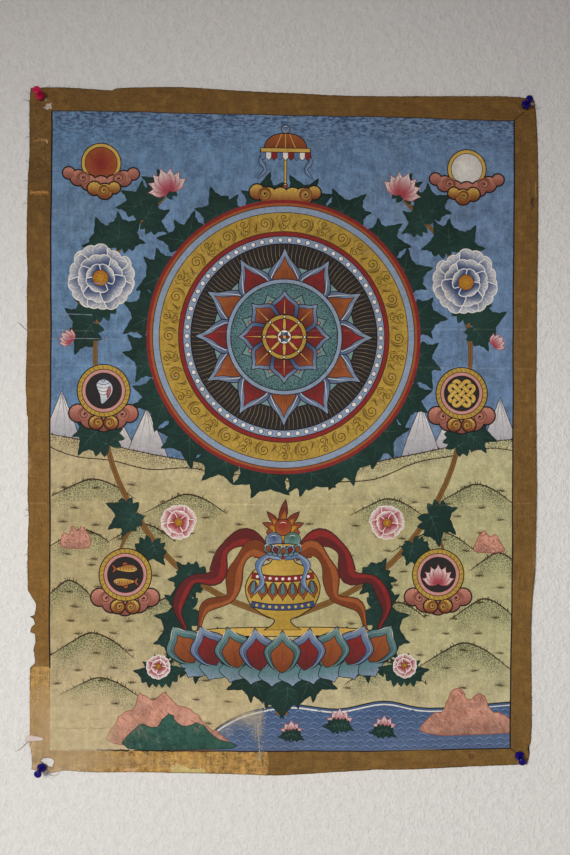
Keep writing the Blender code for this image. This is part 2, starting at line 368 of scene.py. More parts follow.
def windings(points, loop):  # how often an outline goes round each point
    turns = np.zeros(len(points), int)
    for first, second in zip(loop, np.roll(loop, -1)):
        up = (first.imag <= points.imag) & (second.imag > points.imag)
        down = (second.imag <= points.imag) & (first.imag > points.imag)
        crossing = np.nonzero(up | down)[0]
        if len(crossing):
            leftOf = ((second - first).conjugate() * (points[crossing] - first)).imag > 0
            turns[crossing] += np.where(up[crossing], leftOf, 0) - np.where(down[crossing], ~leftOf, 0)
    return turns


layers = []  # each is an outline, its paint and its brushwork, the lowest first
extraPoints = []  # points where a fading needs them


def lay(outline, paint, brush=None, everywhere=False):
    if area(outline) < 0:
        outline = outline[::-1]
    if not everywhere:
        outline = clipped(outline, panel["corners"])
    if len(outline) > 2 and abs(area(outline)) > 0.02:
        layers.append((outline, paint, brush))


def fill(spot, outline, colour, edge=None, width=0.8, fade=None, glow=None, brush=None):
    outline = thinned(spot.at(outline))
    if area(outline) < 0:
        outline = outline[::-1]
    if edge is not None:
        lay(grown(outline, width / 2), plain(edge))
        outline = grown(outline, -width / 2)
    paint = plain(colour)
    if fade is not None:
        paint = fading(colour, fade[0], spot.at(fade[1]), spot.at(fade[2]))
    if glow is not None:
        paint = glowing(colour, glow[0], spot.at(glow[1]), glow[2] * abs(spot.factor))
    lay(outline, paint, brush)


def inked(spot, outline, colour, width=0.8, **more):  # filled, with an ink outline
    fill(spot, outline, colour, hue.ink, width, **more)


def stroke(spot, points, colour, width=0.8, taper=0.0, everywhere=False):
    points = spot.at(points)
    share = np.linspace(0, 1, len(points))
    widths = width * (1 - taper * (2 * share - 1) ** 2)
    lay(ribbon(points, widths), plain(colour), None, everywhere)


def blade(spot, points, colour, width):  # a stroke that is thick at its start and ends in a point
    points = spot.at(points)
    lay(ribbon(points, width * np.linspace(1, 0.12, len(points))), plain(colour))


def plain(colour):
    return lambda points: np.tile(np.asarray(colour, float), (len(points), 1))


def blend(first, second, share):
    share = np.clip(share, 0, 1)[:, None]
    return np.asarray(first, float) * (1 - share) + np.asarray(second, float) * share


def fading(first, second, start, end):
    run = end - start
    return lambda points: blend(first, second, ((points - start) * np.conj(run)).real / abs(run) ** 2)


def glowing(first, second, centre, radius):
    return lambda points: blend(first, second, np.abs(points - centre) / radius)


# what the paint does besides its colour: dots, dashes, border, scumbled
onBorder = (0, 0, 1, 0)
onOchre = (0, 0, 1, 1)
onSky = (0, 0, 0, 1)
onGround = (0, 0, 0, 0.6)
onDisc = (0, 0, 0, 0)


def brushed(points, base, channel, amount):
    values = np.tile(np.array(base, float), (len(points), 1))
    values[:, channel] = amount
    return values


# ---- paints, as they look in the light of the room

paints = {
    "ink": (32, 28, 30),
    "brownInk": (70, 50, 30),
    "border": (119, 88, 47),
    "borderWorn": (130, 96, 50),
    "borderRight": (122, 92, 49),
    "ochre": (176, 138, 78),
    "bare": (184, 160, 124),
    "hill": (142, 144, 102),
    "leaf": (34, 59, 53),
    "leafVein": (62, 92, 80),
    "stem": (128, 92, 50),
    "stemDark": (88, 60, 34),
    "gold": (176, 144, 62),
    "goldLight": (202, 166, 82),
    "goldDark": (88, 66, 28),
    "yellow": (188, 146, 40),
    "orange": (156, 87, 48),
    "orangeDark": (120, 62, 36),
    "red": (134, 44, 42),
    "redDark": (96, 40, 40),
    "blue": (96, 120, 156),
    "blueDark": (60, 76, 112),
    "blueLight": (138, 154, 176),
    "indigo": (56, 68, 106),
    "teal": (88, 122, 126),
    "tealLight": (120, 150, 148),
    "tealDark": (46, 78, 84),
    "black": (46, 42, 43),
    "rays": (134, 118, 84),
    "white": (228, 224, 218),
    "pink": (196, 140, 132),
    "pinkDark": (158, 66, 78),
    "salmon": (190, 128, 110),
    "salmonDark": (134, 78, 66),
    "water": (70, 95, 132),
    "waterLight": (116, 140, 172),
    "rock": (196, 142, 122),
    "rockDark": (150, 90, 76),
    "moss": (54, 94, 82),
    "moon": (204, 200, 194),
}
hue = SimpleNamespace(**paints)


# ---- motifs, each drawn about its own middle


def drawLeaf(spot, bend=0.2, tone=0.0):
    lower = [0, -0.09-0.18j, 0.02-0.40j, 0.16-0.31j, 0.23-0.52j, 0.39-0.33j, 0.52-0.43j, 0.60-0.21j,
             0.80-0.10j]
    upper = [0.78+0.09j, 0.62+0.20j, 0.51+0.39j, 0.37+0.31j, 0.19+0.49j, 0.13+0.29j, -0.05+0.37j,
             -0.08+0.15j]
    outline = bulged(np.array(lower + [1.0] + upper), 0.07, 3)
    outline = outline + 1j * bend * (outline.real - 0.15) ** 2
    colour = np.array(hue.leaf) * (1 + tone)
    fill(spot, outline, colour, fade=(colour * 0.84, 0, 1.0))
    vein = np.linspace(0.05, 0.86, 6)
    blade(spot, vein + 1j * bend * (vein - 0.15) ** 2, hue.leafVein, 0.7)
    for start, reach in ((0.10, 0.10+0.30j), (0.28, 0.20+0.24j), (0.08, 0.12-0.32j), (0.26, 0.22-0.26j)):
        tip = start + reach
        blade(spot, [start, (start + tip) / 2 + 0.02, tip], hue.leafVein, 0.5)


def drawLeaves(spot, length, fan, seed):  # a spray of leaves from one point
    dice = random.Random(seed)
    for number, angle in enumerate(fan):
        size = length * dice.uniform(0.82, 1.08)
        leaf = spot.near(turn=angle + dice.uniform(-7, 7), size=size, flipped=angle < 0)
        drawLeaf(leaf, dice.uniform(0.12, 0.3), dice.uniform(-0.08, 0.12))


def drawStem(spot, points, width, end=0.55):
    line = smooth(points, 5, closed=False)
    widths = width * np.linspace(1, end, len(line))
    placed = spot.at(line)
    lay(ribbon(placed, widths + 0.9), plain(hue.stemDark))
    lay(ribbon(placed, widths), plain(hue.stem))
    stroke(spot, line, hue.stemDark, 0.55, 0.6)


def fanShape(reach, half, scallops, depth=0.07):  # a petal from its root to a scalloped rim
    angles = np.linspace(-half, half, 2 * scallops + 1)
    radii = np.where(np.arange(len(angles)) % 2, 1.0, 1.0 - depth) * reach
    return np.concatenate([[0.05], radii * polar(angles)])


def drawPeony(spot, radius, rim, heart, deep, turn=0.0):
    dice = random.Random(int(radius * 7 + turn))
    pale = tuple(0.2 * low + 0.8 * high for low, high in zip(deep, rim))
    rings = ((6, 1.0, 38, 0), (4, 0.62, 52, 30))
    if radius > 25:
        rings = ((7, 1.0, 33, 0), (5, 0.74, 44, 28), (3, 0.46, 60, 8))
    for count, reach, half, start in rings:
        for number in range(count):
            angle = turn + start + 360 * (number + dice.uniform(-0.16, 0.16)) / count
            petal = spot.near(turn=angle, size=radius * dice.uniform(0.9, 1.08))
            shape = bulged(fanShape(reach, half, 3, 0.06), 0.12, 3)
            fade = (pale, 0.56 * reach, 0.92 * reach)
            fill(petal, shape, deep, rim, 1.0 if radius > 25 else 0.8, fade=fade)
            for vein in (-24, -9, 5, 19):
                bent = polar(vein * 0.6)
                inwards = reach * dice.uniform(0.66, 0.8)
                blade(petal, [0.95 * reach * polar(vein), 0.85 * reach * bent, inwards * bent], rim, 0.7)
    fill(spot, bulged(circle(0.24 * radius, 7), 0.2, 3), heart, hue.brownInk, 0.6,
         glow=(hue.orange, 0, 0.34 * radius))
    for number in range(9):
        dot = 0.13 * radius * (1 + 0.3 * (number % 2)) * np.exp(1j * fullTurn * number / 9)
        fill(spot, circle(0.5, 6, dot), hue.brownInk)


def outsideIn(count):
    return sorted(range(count), key=lambda number: -abs(number - (count - 1) / 2))


def petalShape(half, belly=0.45, tip=1.0):  # a lotus petal along x: a round body that ends in a small point
    reach = tip - belly
    knots = [0, 0.3 * belly + 0.62j * half, belly + 1j * half, belly + 0.36 * reach + 0.82j * half,
             belly + 0.68 * reach + 0.30j * half, tip]
    side = smooth(knots, 3, closed=False)
    return np.concatenate([np.conj(side), side[::-1][1:]])


def drawLotus(spot, radius, light, deep, petals=7, spread=150.0):  # a lotus from the side
    for number in outsideIn(petals):
        angle = 90 + spread * (number / (petals - 1) - 0.5)
        outer = abs(number - (petals - 1) / 2) / (petals / 2)
        petal = spot.near(turn=angle, size=radius * (1 - 0.12 * outer))
        shape = petalShape(0.27)
        fill(petal, shape, deep, hue.pinkDark if deep == hue.pinkDark else hue.indigo, 0.6,
             fade=(light, 0.12, 0.86))
        blade(petal, [0.9, 0.5, 0.25], deep, 0.5)


def drawCloud(spot, lobes, light, deep, eyes=(), line=1.5):
    for x, y, radius in lobes:
        lay(spot.at(circle(radius + line / abs(spot.factor), 22, complex(x, y))), plain(hue.ink))
    for x, y, radius in lobes:
        centre = complex(x, y)
        fade = (light, centre - 0.9j * radius, centre + 0.7j * radius)
        fill(spot, circle(radius, 22, centre), deep, fade=fade)
        stroke(spot, arcLine(0.78 * radius, 15, 165, 9, centre), light, 1.0, 0.7)
        for angle in (20, 50, 80, 110, 140):
            blade(spot, [centre + part * radius * polar(angle) for part in (0.97, 0.8, 0.62)], deep, 0.6)
    for x, y, radius, start, flip in eyes:
        coil = spiral(radius, 1.35, start)
        coil = complex(x, y) + (np.conj(coil) if flip else coil)
        fill(spot, circle(radius * 1.12, 22, complex(x, y)), light, deep, 0.8,
             glow=(deep, complex(x, y), radius * 1.5))
        stroke(spot, coil, hue.brownInk, 0.9, 0.3)
        fill(spot, circle(radius * 0.2, 8, complex(x, y)), hue.ink)


def drawJewel(spot, radius, colour, light):
    inked(spot, circle(radius, 20), colour, 0.8, glow=(light, 0.35j * radius, radius * 1.2))
    stroke(spot, arcLine(0.6 * radius, 50, 130, 6), hue.white, 0.7, 0.8)


def drawFlame(spot, size, outer, inner):
    tongues = []
    for angle, reach in zip((8, 32, 58, 90, 122, 148, 172), (0.62, 0.86, 1.02, 1.28, 1.02, 0.86, 0.62)):
        notch = 0.55 * polar(angle - 13)
        tongues += [notch, reach * polar(angle + (4 if angle > 90 else -4))]
    tongues += [0.5 * polar(188), -0.35j]
    shape = bulged(np.array(tongues), 0.08, 3) * size
    inked(spot, shape, outer, 0.8, fade=(inner, 1.2j * size, -0.2j * size))
    fill(spot, shape * 0.68, inner, fade=(hue.yellow, 0.8j * size, 0))


def drawScarf(spot, points, width, colour, light, steps=6):
    line = spot.at(smooth(points, steps, closed=False))
    share = np.linspace(0, 1, len(line))
    widths = width * (0.55 + 0.45 * np.sin(share * math.pi * 3.2) ** 2) * (1 - 0.75 * share**3)
    lay(ribbon(line, widths + 1.3), plain(hue.ink))
    lay(ribbon(line, widths), plain(colour))
    ahead = np.gradient(line)
    side = 1j * ahead / np.abs(ahead) * widths
    lay(ribbon(line + side * 0.24, widths * 0.36), plain(light))


# ---- the ornament's larger parts


def around(spot, count, size=1.0, start=0.0):  # spots turned about the middle of another
    return [spot.near(turn=start + 360 * number / count, size=size) for number in range(count)]


def drawWheel(spot):
    rings = (
        (147, hue.red), (143.4, hue.orange), (140.9, hue.brownInk), (140, hue.blueLight),
        (133.8, hue.brownInk), (133, hue.gold), (113.4, hue.brownInk), (112.4, hue.red),
        (108.4, hue.ink), (107.6, hue.blueLight), (100.4, hue.ink), (99.6, hue.black),
        (76.5, hue.ink), (75.6, hue.tealLight), (68.4, hue.ink),
    )
    for radius, colour in rings:
        brush = onGround if colour == hue.gold else None
        fill(spot, circle(radius, 120 if radius > 100 else 84), colour, brush=brush)
    for pearl in around(spot, 66):  # on the inner blue band
        fill(pearl.near(104), circle(2.6, 9), hue.white, hue.indigo, 0.7)
    fill(spot, circle(65.6, 84), hue.tealLight, glow=(hue.teal, 0, 60),
         brush=lambda points: dotsTowards(spot, points))
    for unit in around(spot, 18):  # scrolls in the gold band
        stroke(unit, 123 + spiral(6.6, 1.8, 200, 0.1), hue.goldDark, 1.0, 0.3)
        for reach, last in ((8.0, -44), (9.2, -52)):
            stroke(unit, arcLine(reach, -170, last, 9, 123), hue.goldDark, 0.9, 0.7)
        for lift, offset in ((0, 5.2), (2.4, 4.4), (4.8, 3.8)):
            angles = [offset, offset + 1.3, offset + 0.1, offset + 1.1]
            stroke(unit, np.array([115, 117.5, 120 + lift, 122.5]) * polar(angles), hue.goldDark, 0.8, 0.6)
        small = unit.near(turn=10.5)
        for coil in (128 + np.conj(spiral(3.8, 1.4, 140, 0.15)), 118.6 + spiral(3.8, 1.3, 20, 0.15)):
            stroke(small, coil, hue.goldDark, 0.9, 0.3)
        for reach, start, centre in ((4.8, 150, 128), (5.0, 60, 118.6)):
            stroke(small, arcLine(reach, start, start + 110, 6, centre), hue.goldDark, 0.8, 0.6)
        for reach, offset in ((115.4, 2.4), (115, -2.2), (122, -3.0), (123.6, 3.2), (119, 0.4)):
            curl = (reach + np.array([0, 4, 8.5])) * polar([offset, offset + 0.9, offset - 0.2])
            stroke(unit.near(turn=10), curl, hue.goldDark, 0.8, 0.5)
    for ray in around(spot, 128):  # on the black band
        stroke(ray, np.array([77, 88, 99]) * polar([0, 0.9, 0.4]), hue.rays, 0.55, 0.5)


def dotsTowards(spot, points):  # brush dots that thicken to the rim of the teal disc
    away = np.abs(points - spot.origin)
    return brushed(points, onDisc, 0, np.clip((away - 28) / 31, 0, 1))


def drawRosette(spot):
    for number in range(12):  # long petals over the black band, the even ones in front
        turned = (2 * number + 1) % 12 if number < 6 else 2 * number % 12
        petal = spot.near(turn=30 * turned, size=96)
        heart = hue.orange if turned % 2 else hue.red
        dark = hue.orangeDark if turned % 2 else hue.redDark
        inked(petal, petalShape(0.19, 0.62), hue.blueDark, 1.0, fade=(hue.blueLight, 0.5, 0.98))
        inked(petal, petalShape(0.133, 0.60, 0.9), dark, 0.7, fade=(heart, 0.52, 0.82))
        for lean in (-2.4, 0, 2.4):
            blade(petal, [0.74 * polar(lean), 0.54 * polar(lean * 0.4)], dark, 0.9)
        for side in (-1, 1):
            rim = [0.56 + 0.155j * side, 0.66 + 0.15j * side, 0.76 + 0.105j * side, 0.86 + 0.05j * side]
            stroke(petal, rim, hue.white, 0.7, 0.8)
    inked(spot, circle(62, 70), hue.blueLight, 0.9)
    inked(spot, circle(57.4, 66), hue.tealLight, 0.9, glow=(hue.teal, 0, 58),
          brush=lambda points: dotsTowards(spot, points))
    for petal in around(spot, 8, 49, 22.5):
        inked(petal, petalShape(0.33, 0.6), hue.teal, 0.9, fade=(hue.tealLight, 0.5, 1.0))
        inked(petal, petalShape(0.23, 0.6, 0.86), hue.salmonDark, 0.6, fade=(hue.pink, 0.5, 0.86))
    for number, petal in enumerate(around(spot, 8, 50)):
        inked(petal, petalShape(0.31, 0.6), hue.blueDark, 0.9, fade=(hue.blueLight, 0.45, 1.0))
        inked(petal, petalShape(0.22, 0.6, 0.88), hue.redDark, 0.6,
              fade=(hue.orange if number % 2 else hue.red, 0.45, 0.85))
        blade(petal, [0.5, 0.68, 0.82], hue.goldLight, 1.0)
    inked(spot, circle(24, 48), hue.goldLight, 1.0, glow=(hue.gold, 0, 24))
    inked(spot, circle(19.5, 44), hue.red, 0.8)
    for spoke in around(spot, 8):
        inked(spoke, [5-0.9j, 12-1.9j, 19.6-1.2j, 19.6+1.2j, 12+1.9j, 5+0.9j], hue.goldLight, 0.6)
        drawJewel(spoke.near(21.7), 1.5, hue.white, hue.white)
    inked(spot, circle(7.4, 26), hue.white, 0.8)
    for number, petal in enumerate(around(spot, 6, 6.6)):
        inked(petal, petalShape(0.3, 0.55), (hue.red, hue.blueDark, hue.teal)[number % 3], 0.4)
    inked(spot, circle(1.9, 10), hue.goldLight, 0.4)


def drawVase(spot):
    body = [-10+36j, -14+27j, -30+20j, -40+2j, -35-17j, -20-29j, -9-34j, -12-40j, -20-45j]
    half = smooth(body, 5, closed=False)
    outline = np.concatenate([half, -np.conj(half[::-1])])
    inked(spot, outline, hue.goldLight, 1.1, glow=(hue.gold, -12+8j, 44))
    for centre, colour in ((13.5, hue.red), (-17.0, hue.blueDark)):
        width = 33.5 if centre > 0 else 34.0
        sag = smooth([-width + 0j, -width / 2 - 3j, -3.8j, width / 2 - 3j, width + 0j], 4, closed=False)
        lay(ribbon(spot.at(sag + centre * 1j), 7.2), plain(hue.ink))
        lay(ribbon(spot.at(sag + centre * 1j), 5.6), plain(colour))
        for number in range(-4, 5):
            x = number * width / 4.9
            dot = complex(x, centre - 3.8 + 3.8 * (x / width) ** 2)
            fill(spot, circle(1.6, 10, dot), hue.white if centre > 0 else hue.goldLight)
    for number in range(-3, 4):  # petals round the belly
        x = number * 10.2
        petal = spot.near(x, 9.0 - 3.2 + 3.2 * (x / 34) ** 2, -90 + number * 3.2, 19.5)
        inked(petal, petalShape(0.27, 0.5), hue.orangeDark, 0.7, fade=(hue.orange, 0.3, 0.9))
        inked(petal, petalShape(0.13, 0.5, 0.76), hue.teal, 0.5)
    neck = [-13+37j, 13+37j, 11.5+31j, -11.5+31j]
    inked(spot, neck, hue.red, 0.9)
    lip = smooth([-17+41j, -15+37j, 15+37j, 17+41j, 0+43.5j], 4)
    inked(spot, lip, hue.goldLight, 1.0, fade=(hue.gold, 42j, 36j))


def drawThrone(spot, petals, width, height):  # a row of lotus petals
    seat = [-width * 0.46 + 3j, -width * 0.3 + 7j, 8j, width * 0.3 + 7j, width * 0.46 + 3j,
            width * 0.3 - 1j, 0 - 2j, -width * 0.3 - 1j]
    inked(spot, smooth(seat, 4), hue.goldLight, 1.0)
    for number in range(petals + 1):  # turned-down petals at the foot
        share = number / petals - 0.5
        root = spot.near(share * width * 0.84, -height * (0.72 - 0.36 * abs(share)), -90 + 54 * share,
                         height * 0.52)
        inked(root, petalShape(0.62, 0.5), hue.teal, 0.8, fade=(hue.blueLight, 0.3, 1.0))
        stroke(root, [0.5, 0.86], hue.blueDark, 0.6, 0.6)
    for number in outsideIn(petals):
        share = number / (petals - 1) - 0.5
        root = spot.near(share * width * 0.88, -height * (0.90 - 0.5 * abs(share)), 90 - 62 * share, height)
        flame = (hue.red, hue.redDark) if number % 2 else (hue.orange, hue.orangeDark)
        rim = (hue.blueDark, hue.blueLight) if number % 2 else (hue.tealDark, hue.tealLight)
        inked(root, petalShape(0.43, 0.46), rim[0], 1.0, fade=(rim[1], 0.0, 1.0))
        fill(root, petalShape(0.36, 0.45, 0.9), rim[0], rim[1], 0.7, fade=(rim[1], 0.2, 1.1))
        inked(root, petalShape(0.27, 0.40, 0.76), flame[1], 0.7, fade=(flame[0], 0.05, 0.7))
        stroke(root, [0.06, 0.3, 0.58], flame[1], 1.0, 0.6)
        for side in (-1, 1):
            stroke(root, [0.74 + 0.2j * side, 0.84 + 0.12j * side, 0.93 + 0.04j * side], hue.white, 0.7,
                   0.7)


def drawParasol(spot):
    stroke(spot, [-34j, 16j], hue.ink, 3.4)
    stroke(spot, [-34j, 16j], hue.goldLight, 2.0)
    for side in (-1, 1):
        drawScarf(spot, [side * 20 + 2j, side * 27 - 8j, side * 22 - 18j, side * 30 - 28j], 5.0, hue.blue,
                  hue.blueLight)
    dome = smooth([-24+2j, -20+13j, -9+20j, 9+20j, 20+13j, 24+2j], 4, closed=False)
    inked(spot, np.append(dome, 24+2j), hue.orange, 1.0, fade=(hue.orangeDark, 20j, 0))
    for x in (-12, 0, 12):
        stroke(spot, [x * 0.35 + 20j, x + 2j], hue.goldLight, 1.4, 0.4)
    for number in range(9):  # the valance
        x = -24 + 6 * number
        colour = (hue.blue, hue.white, hue.red)[number % 3]
        inked(spot, [x - 3 + 3j, x - 3 - 5j, x - 8j, x + 3 - 5j, x + 3 + 3j], colour, 0.6)
    inked(spot, ribbon([-26.5+3j, 26.5+3j], 4.4), hue.goldLight, 0.8)
    drawJewel(spot.near(0, 25.5), 4.6, hue.blueDark, hue.blueLight)
    drawJewel(spot.near(0, -35), 2.6, hue.red, hue.orange)


def drawSeal(spot, radius):  # a round field with a halo, for one sign
    inked(spot, circle(radius, 40), hue.goldLight, 1.1, glow=(hue.gold, 0, radius))
    for number in range(32):
        ray = np.exp(1j * fullTurn * number / 32)
        stroke(spot, [radius * 0.84 * ray, radius * 0.97 * ray * np.exp(0.05j)], hue.goldDark, 0.5)
    inked(spot, circle(radius * 0.82, 36), hue.pink, 0.8)
    inked(spot, circle(radius * 0.68, 36), hue.black, 0.7)


def drawKnot(spot, unit):  # the endless knot, woven over and under
    bend = np.linspace(-1.57, 1.57, 8)
    cords = []
    for side in (1, -1):
        for centre in (0.5, -0.5):
            cords.append(side * 1.72 + 1j * centre + 0.5 * np.exp(1j * bend) * side)
            cords.append(side * 1.72j + centre + 0.5j * np.exp(1j * bend) * side)
    cords += [np.array([-1.75 + offset * 1j, 1.75 + offset * 1j]) for offset in (-1, 0, 1)]
    cords += [np.array([-1j * 1.75 + offset, 1j * 1.75 + offset]) for offset in (-1, 0, 1)]
    for across in (-1, 0, 1):
        for along in (-1, 0, 1):
            if (across + along) % 2 == 0:
                cords.append(np.array([along - 0.5 + across * 1j, along + 0.5 + across * 1j]))
    for cord in cords:
        cord = cord * unit * np.exp(0.25j * math.pi)
        stroke(spot, cord, hue.ink, 0.62 * unit + 1.0)
        stroke(spot, cord, hue.goldLight, 0.62 * unit)


def drawConch(spot, size):
    shell = [-0.15-0.95j, 0.30-0.62j, 0.62-0.10j, 0.60+0.42j, 0.22+0.78j, -0.22+0.80j, -0.52+0.50j,
             -0.46+0.12j, -0.28-0.30j]
    inked(spot, smooth(np.array(shell) * size, 4), hue.white, 1.0, glow=(hue.blueLight, 0, size * 1.4))
    for height, reach in ((0.56, 0.5), (0.30, 0.52), (0.06, 0.44), (-0.18, 0.34)):
        line = np.array([-reach + height * 1j, (height - 0.12) * 1j, reach + (height + 0.04) * 1j]) * size
        stroke(spot, smooth(line, 4, closed=False), hue.indigo, 0.7, 0.5)
    stroke(spot, np.array(spiral(0.2, 1.2, 30)) * size + 0.72j * size, hue.indigo, 0.7, 0.3)
    mouth = smooth(np.array([0.28-0.5j, 0.5-0.05j, 0.42+0.3j, 0.22-0.05j]) * size, 4)
    inked(spot, mouth, hue.pinkDark, 0.6, fade=(hue.pink, 0, size))


def drawFish(spot, size):
    back = [1.0+0j, 0.72+0.30j, 0.20+0.40j, -0.40+0.22j, -0.72+0.10j]
    belly = [-0.72-0.06j, -0.40-0.16j, 0.20-0.26j, 0.72-0.22j]
    tail = [-0.72+0.10j, -1.12+0.42j, -0.96+0.02j, -1.10-0.36j, -0.72-0.06j]
    inked(spot, bulged(np.array(tail) * size, 0.06, 2), hue.orange, 0.8)
    fin = np.array([0.35+0.36j, -0.10+0.62j, -0.30+0.30j]) * size
    inked(spot, bulged(fin, 0.05, 2), hue.orange, 0.7)
    inked(spot, smooth(np.array(back + belly) * size, 4), hue.goldLight, 0.9,
          fade=(hue.orange, -0.2j * size, 0.4j * size))
    for number in range(5):
        stroke(spot, arcLine(0.17 * size, -70, 70, 6, (0.34 - 0.22 * number + 0.05j) * size), hue.brownInk,
               0.6, 0.5)
    inked(spot, circle(0.08 * size, 10, (0.70+0.08j) * size), hue.white, 0.6)


# ---- the picture


def bandTone(points, heights, tones, aside):
    tone = np.stack([np.interp(points.imag, heights, part) for part in zip(*tones)], 1)
    return tone * (1 + points.real[:, None] * np.array(aside))


def skyTone(points):
    tones = ((100, 126, 156), (101, 129, 163), (103, 132, 165), (107, 134, 167), (104, 133, 166),
             (105, 136, 171))
    return bandTone(points, (-60, 40, 150, 225, 292, 342), tones, (0.0001, 0, 0))


def skyBrush(points):  # short dark dashes along the top
    return brushed(points, onSky, 1, np.clip((points.imag - 292) / 46, 0, 1))


def groundTone(points):
    tones = ((197, 182, 144), (191, 178, 138), (180, 170, 127), (180, 169, 126), (189, 177, 136))
    return bandTone(points, (-341, -270, -200, -90, -20), tones, (0.00004, 0.00016, 0.00016))


def drawPeak(x, y, width, height):
    left, right = x - width / 2 + y * 1j, x + width / 2 + y * 1j
    top = x + (y + height) * 1j
    slope = [left, left * 0.6 + top * 0.4 - 1.2, top, right * 0.6 + top * 0.4 + 1.2, right]
    inked(here, slope, hue.white, 0.7, fade=((160, 158, 166), top, complex(x, y)))
    for share, lean in ((-0.22, 0.5), (0.1, 0.62), (0.3, 0.4)):
        foot = complex(x + width * share, y + height * 0.12)
        blade(here, [top - 2j, (top + foot) / 2 + lean, foot], (150, 150, 160), 1.1)


def drawHill(x, y, width, height, seed):
    dice = random.Random(seed)
    ridge = smooth([complex(x - width / 2, y - height), complex(x - width * 0.22, y - height * 0.36),
                    complex(x, y), complex(x + width * 0.24, y - height * 0.3),
                    complex(x + width / 2, y - height * 1.05)], 7, False)
    depth = height + 12
    low = np.array([complex(point.real, y - height - depth) for point in ridge[::-1]])

    def share(points):
        line = heightAt(points.real, ridge)
        aside = np.clip(1.5 * (1 - (2 * np.abs(points.real - x) / width) ** 2), 0, 1)
        return aside * np.clip(1 - (line - points.imag) / depth, 0, 1) * (points.imag < line + 1)

    def brush(points):
        return brushed(points, onGround, 0, 0.9 * share(points) ** 0.9)

    for step in np.linspace(0.2, 0.9, 5):  # rows of points that carry the fading
        extraPoints.extend((ridge - 1j * depth * step)[2:-2])
    lay(np.concatenate([ridge[::-1], low[::-1]]),
        lambda points: blend(groundTone(points), hue.hill, share(points) ** 1.5 * 0.62), brush)
    stroke(here, ridge, (58, 44, 32), 1.6, 0.6)
    for point, after in zip(ridge[1:-1], ridge[2:]):
        for twig in range(dice.choice((0, 1, 2, 3))):
            root = point + (after - point) * dice.random()
            lean = 0.7 * math.copysign(1, root.real - x) + dice.uniform(-0.8, 0.6)
            reach = dice.choice((1.4, 2.0, 3.2, 4.8)) * dice.uniform(0.8, 1.1)
            bent = root + complex(lean * 0.4, reach * 0.55)
            blade(here, [root, bent, root + complex(lean * reach * 0.5, reach)], (62, 48, 34), 1.0)


def drawTuft(x, y, dice):
    size = dice.uniform(0.85, 1.25)
    for offset, reach in ((0.0, 6.0), (-1.7, 3.6), (1.3, 3.4)):
        middle = complex(x + dice.uniform(-2, 2), y + offset * 0.5)
        stroke(here, [middle - reach * size, middle + 0.3j, middle + reach * size], hue.brownInk, 0.7, 0.75)
    for lean in (-4.0, -2.1, -0.4, 1.2, 3.4):
        root = complex(x + lean * 0.5, y)
        blade(here, [root, root + complex(lean, (5.2 - 0.6 * abs(lean)) * size)], (66, 56, 34), 0.8)


def drawRock(spot, outline, seed, colour=None, dark=None):
    dice = random.Random(seed)
    colour = colour or hue.rock
    dark = dark or hue.rockDark
    shape = smooth(outline[::-1], 4)
    jitter = [complex(dice.uniform(-0.035, 0.035), dice.uniform(-0.03, 0.03)) for point in shape]
    shape = shape + np.array(jitter)
    top, low = shape.imag.max(), shape.imag.min()
    shade = tuple(0.86 * part for part in colour)
    fill(spot, shape, shade, dark, 0.9, fade=(colour, low * 1j, (0.5 * low + 0.5 * top) * 1j), brush=onSky)
    left, right = shape.real.min(), shape.real.max()
    roots = [complex(dice.uniform(left, right), dice.uniform(low, top)) for number in range(150)]
    inside = windings(np.array(roots), shape) != 0
    for root, kept in zip(roots, inside):  # hatching that falls to the right, as rock is shaded
        fall = np.exp(-1j * math.radians(dice.uniform(34, 66)))
        tip = root + dice.uniform(0.12, 0.3) * fall
        if kept and windings(np.array([tip]), shape)[0]:
            tone = dark if dice.random() < 0.7 else tuple(min(255, part * 1.1) for part in colour)
            blade(spot, [root, (root + tip) / 2 + 0.02 * fall * 1j, tip], tone, dice.uniform(0.7, 1.1))


def drawWater():
    shore = smooth(panel["shore"], 5, closed=False)
    bank = np.concatenate([shore, [252-342j]])
    inked(here, bank, hue.water, 1.2, fade=((92, 108, 140), -286j, -344j))
    stroke(here, shore - 3.4j, hue.white, 1.5, 0.3)
    dice = random.Random(4)
    for row in range(7):
        y = -300 - 6.2 * row
        x = -70 + dice.uniform(0, 8) + 2.2 * row
        while x < 246:
            reach = dice.uniform(7, 11)
            arc = [complex(x, y), complex(x + reach * 0.5, y + 2.6), complex(x + reach, y)]
            arc = smooth(arc, 3, closed=False)
            if y + 5 < heightAt(x, shore):
                stroke(here, arc, hue.waterLight, 0.85, 0.6)
                stroke(here, arc - 1.5j, hue.indigo, 0.7, 0.7)
            x += reach + dice.uniform(0.4, 3)


def drawSky():
    lay(np.array([-252-60j, 252-60j, 252+345j, -252+345j]), skyTone, skyBrush)
    for x, y, width, height in panel["peaks"]:
        drawPeak(x, y, width, height)
    low = smooth(panel["horizon"], 6, closed=False)

    def grassy(points):  # stippled below the skyline
        line = heightAt(points.real, low)
        return brushed(points, onGround, 0, np.sqrt(np.clip(1 - (line - points.imag) / 14, 0, 1)) * 0.9)

    lay(np.concatenate([[-252-345j, 252-345j], low[::-1]]), groundTone, grassy)
    dice = random.Random(21)
    rise = low - 1j * (13 + 5 * np.sin(low.real / 41) + 2 * np.sin(low.real / 13))
    for line, count in ((low, 5), (rise, 4)):
        stroke(here, line, (58, 44, 30), 1.2, 0.2)
        for point, after in zip(line, line[1:]):
            for twig in range(dice.randint(count - 3, count)):
                root = point + (after - point) * dice.random() - 1j * dice.random()
                lean = dice.uniform(-2.4, 2.4)
                tip = root + complex(lean, dice.uniform(0.8, 1) * dice.choice((1.6, 2.4, 3.8)))
                blade(here, [root, (root + tip) / 2 + dice.uniform(-0.4, 0.4), tip], (58, 44, 30), 1.0)


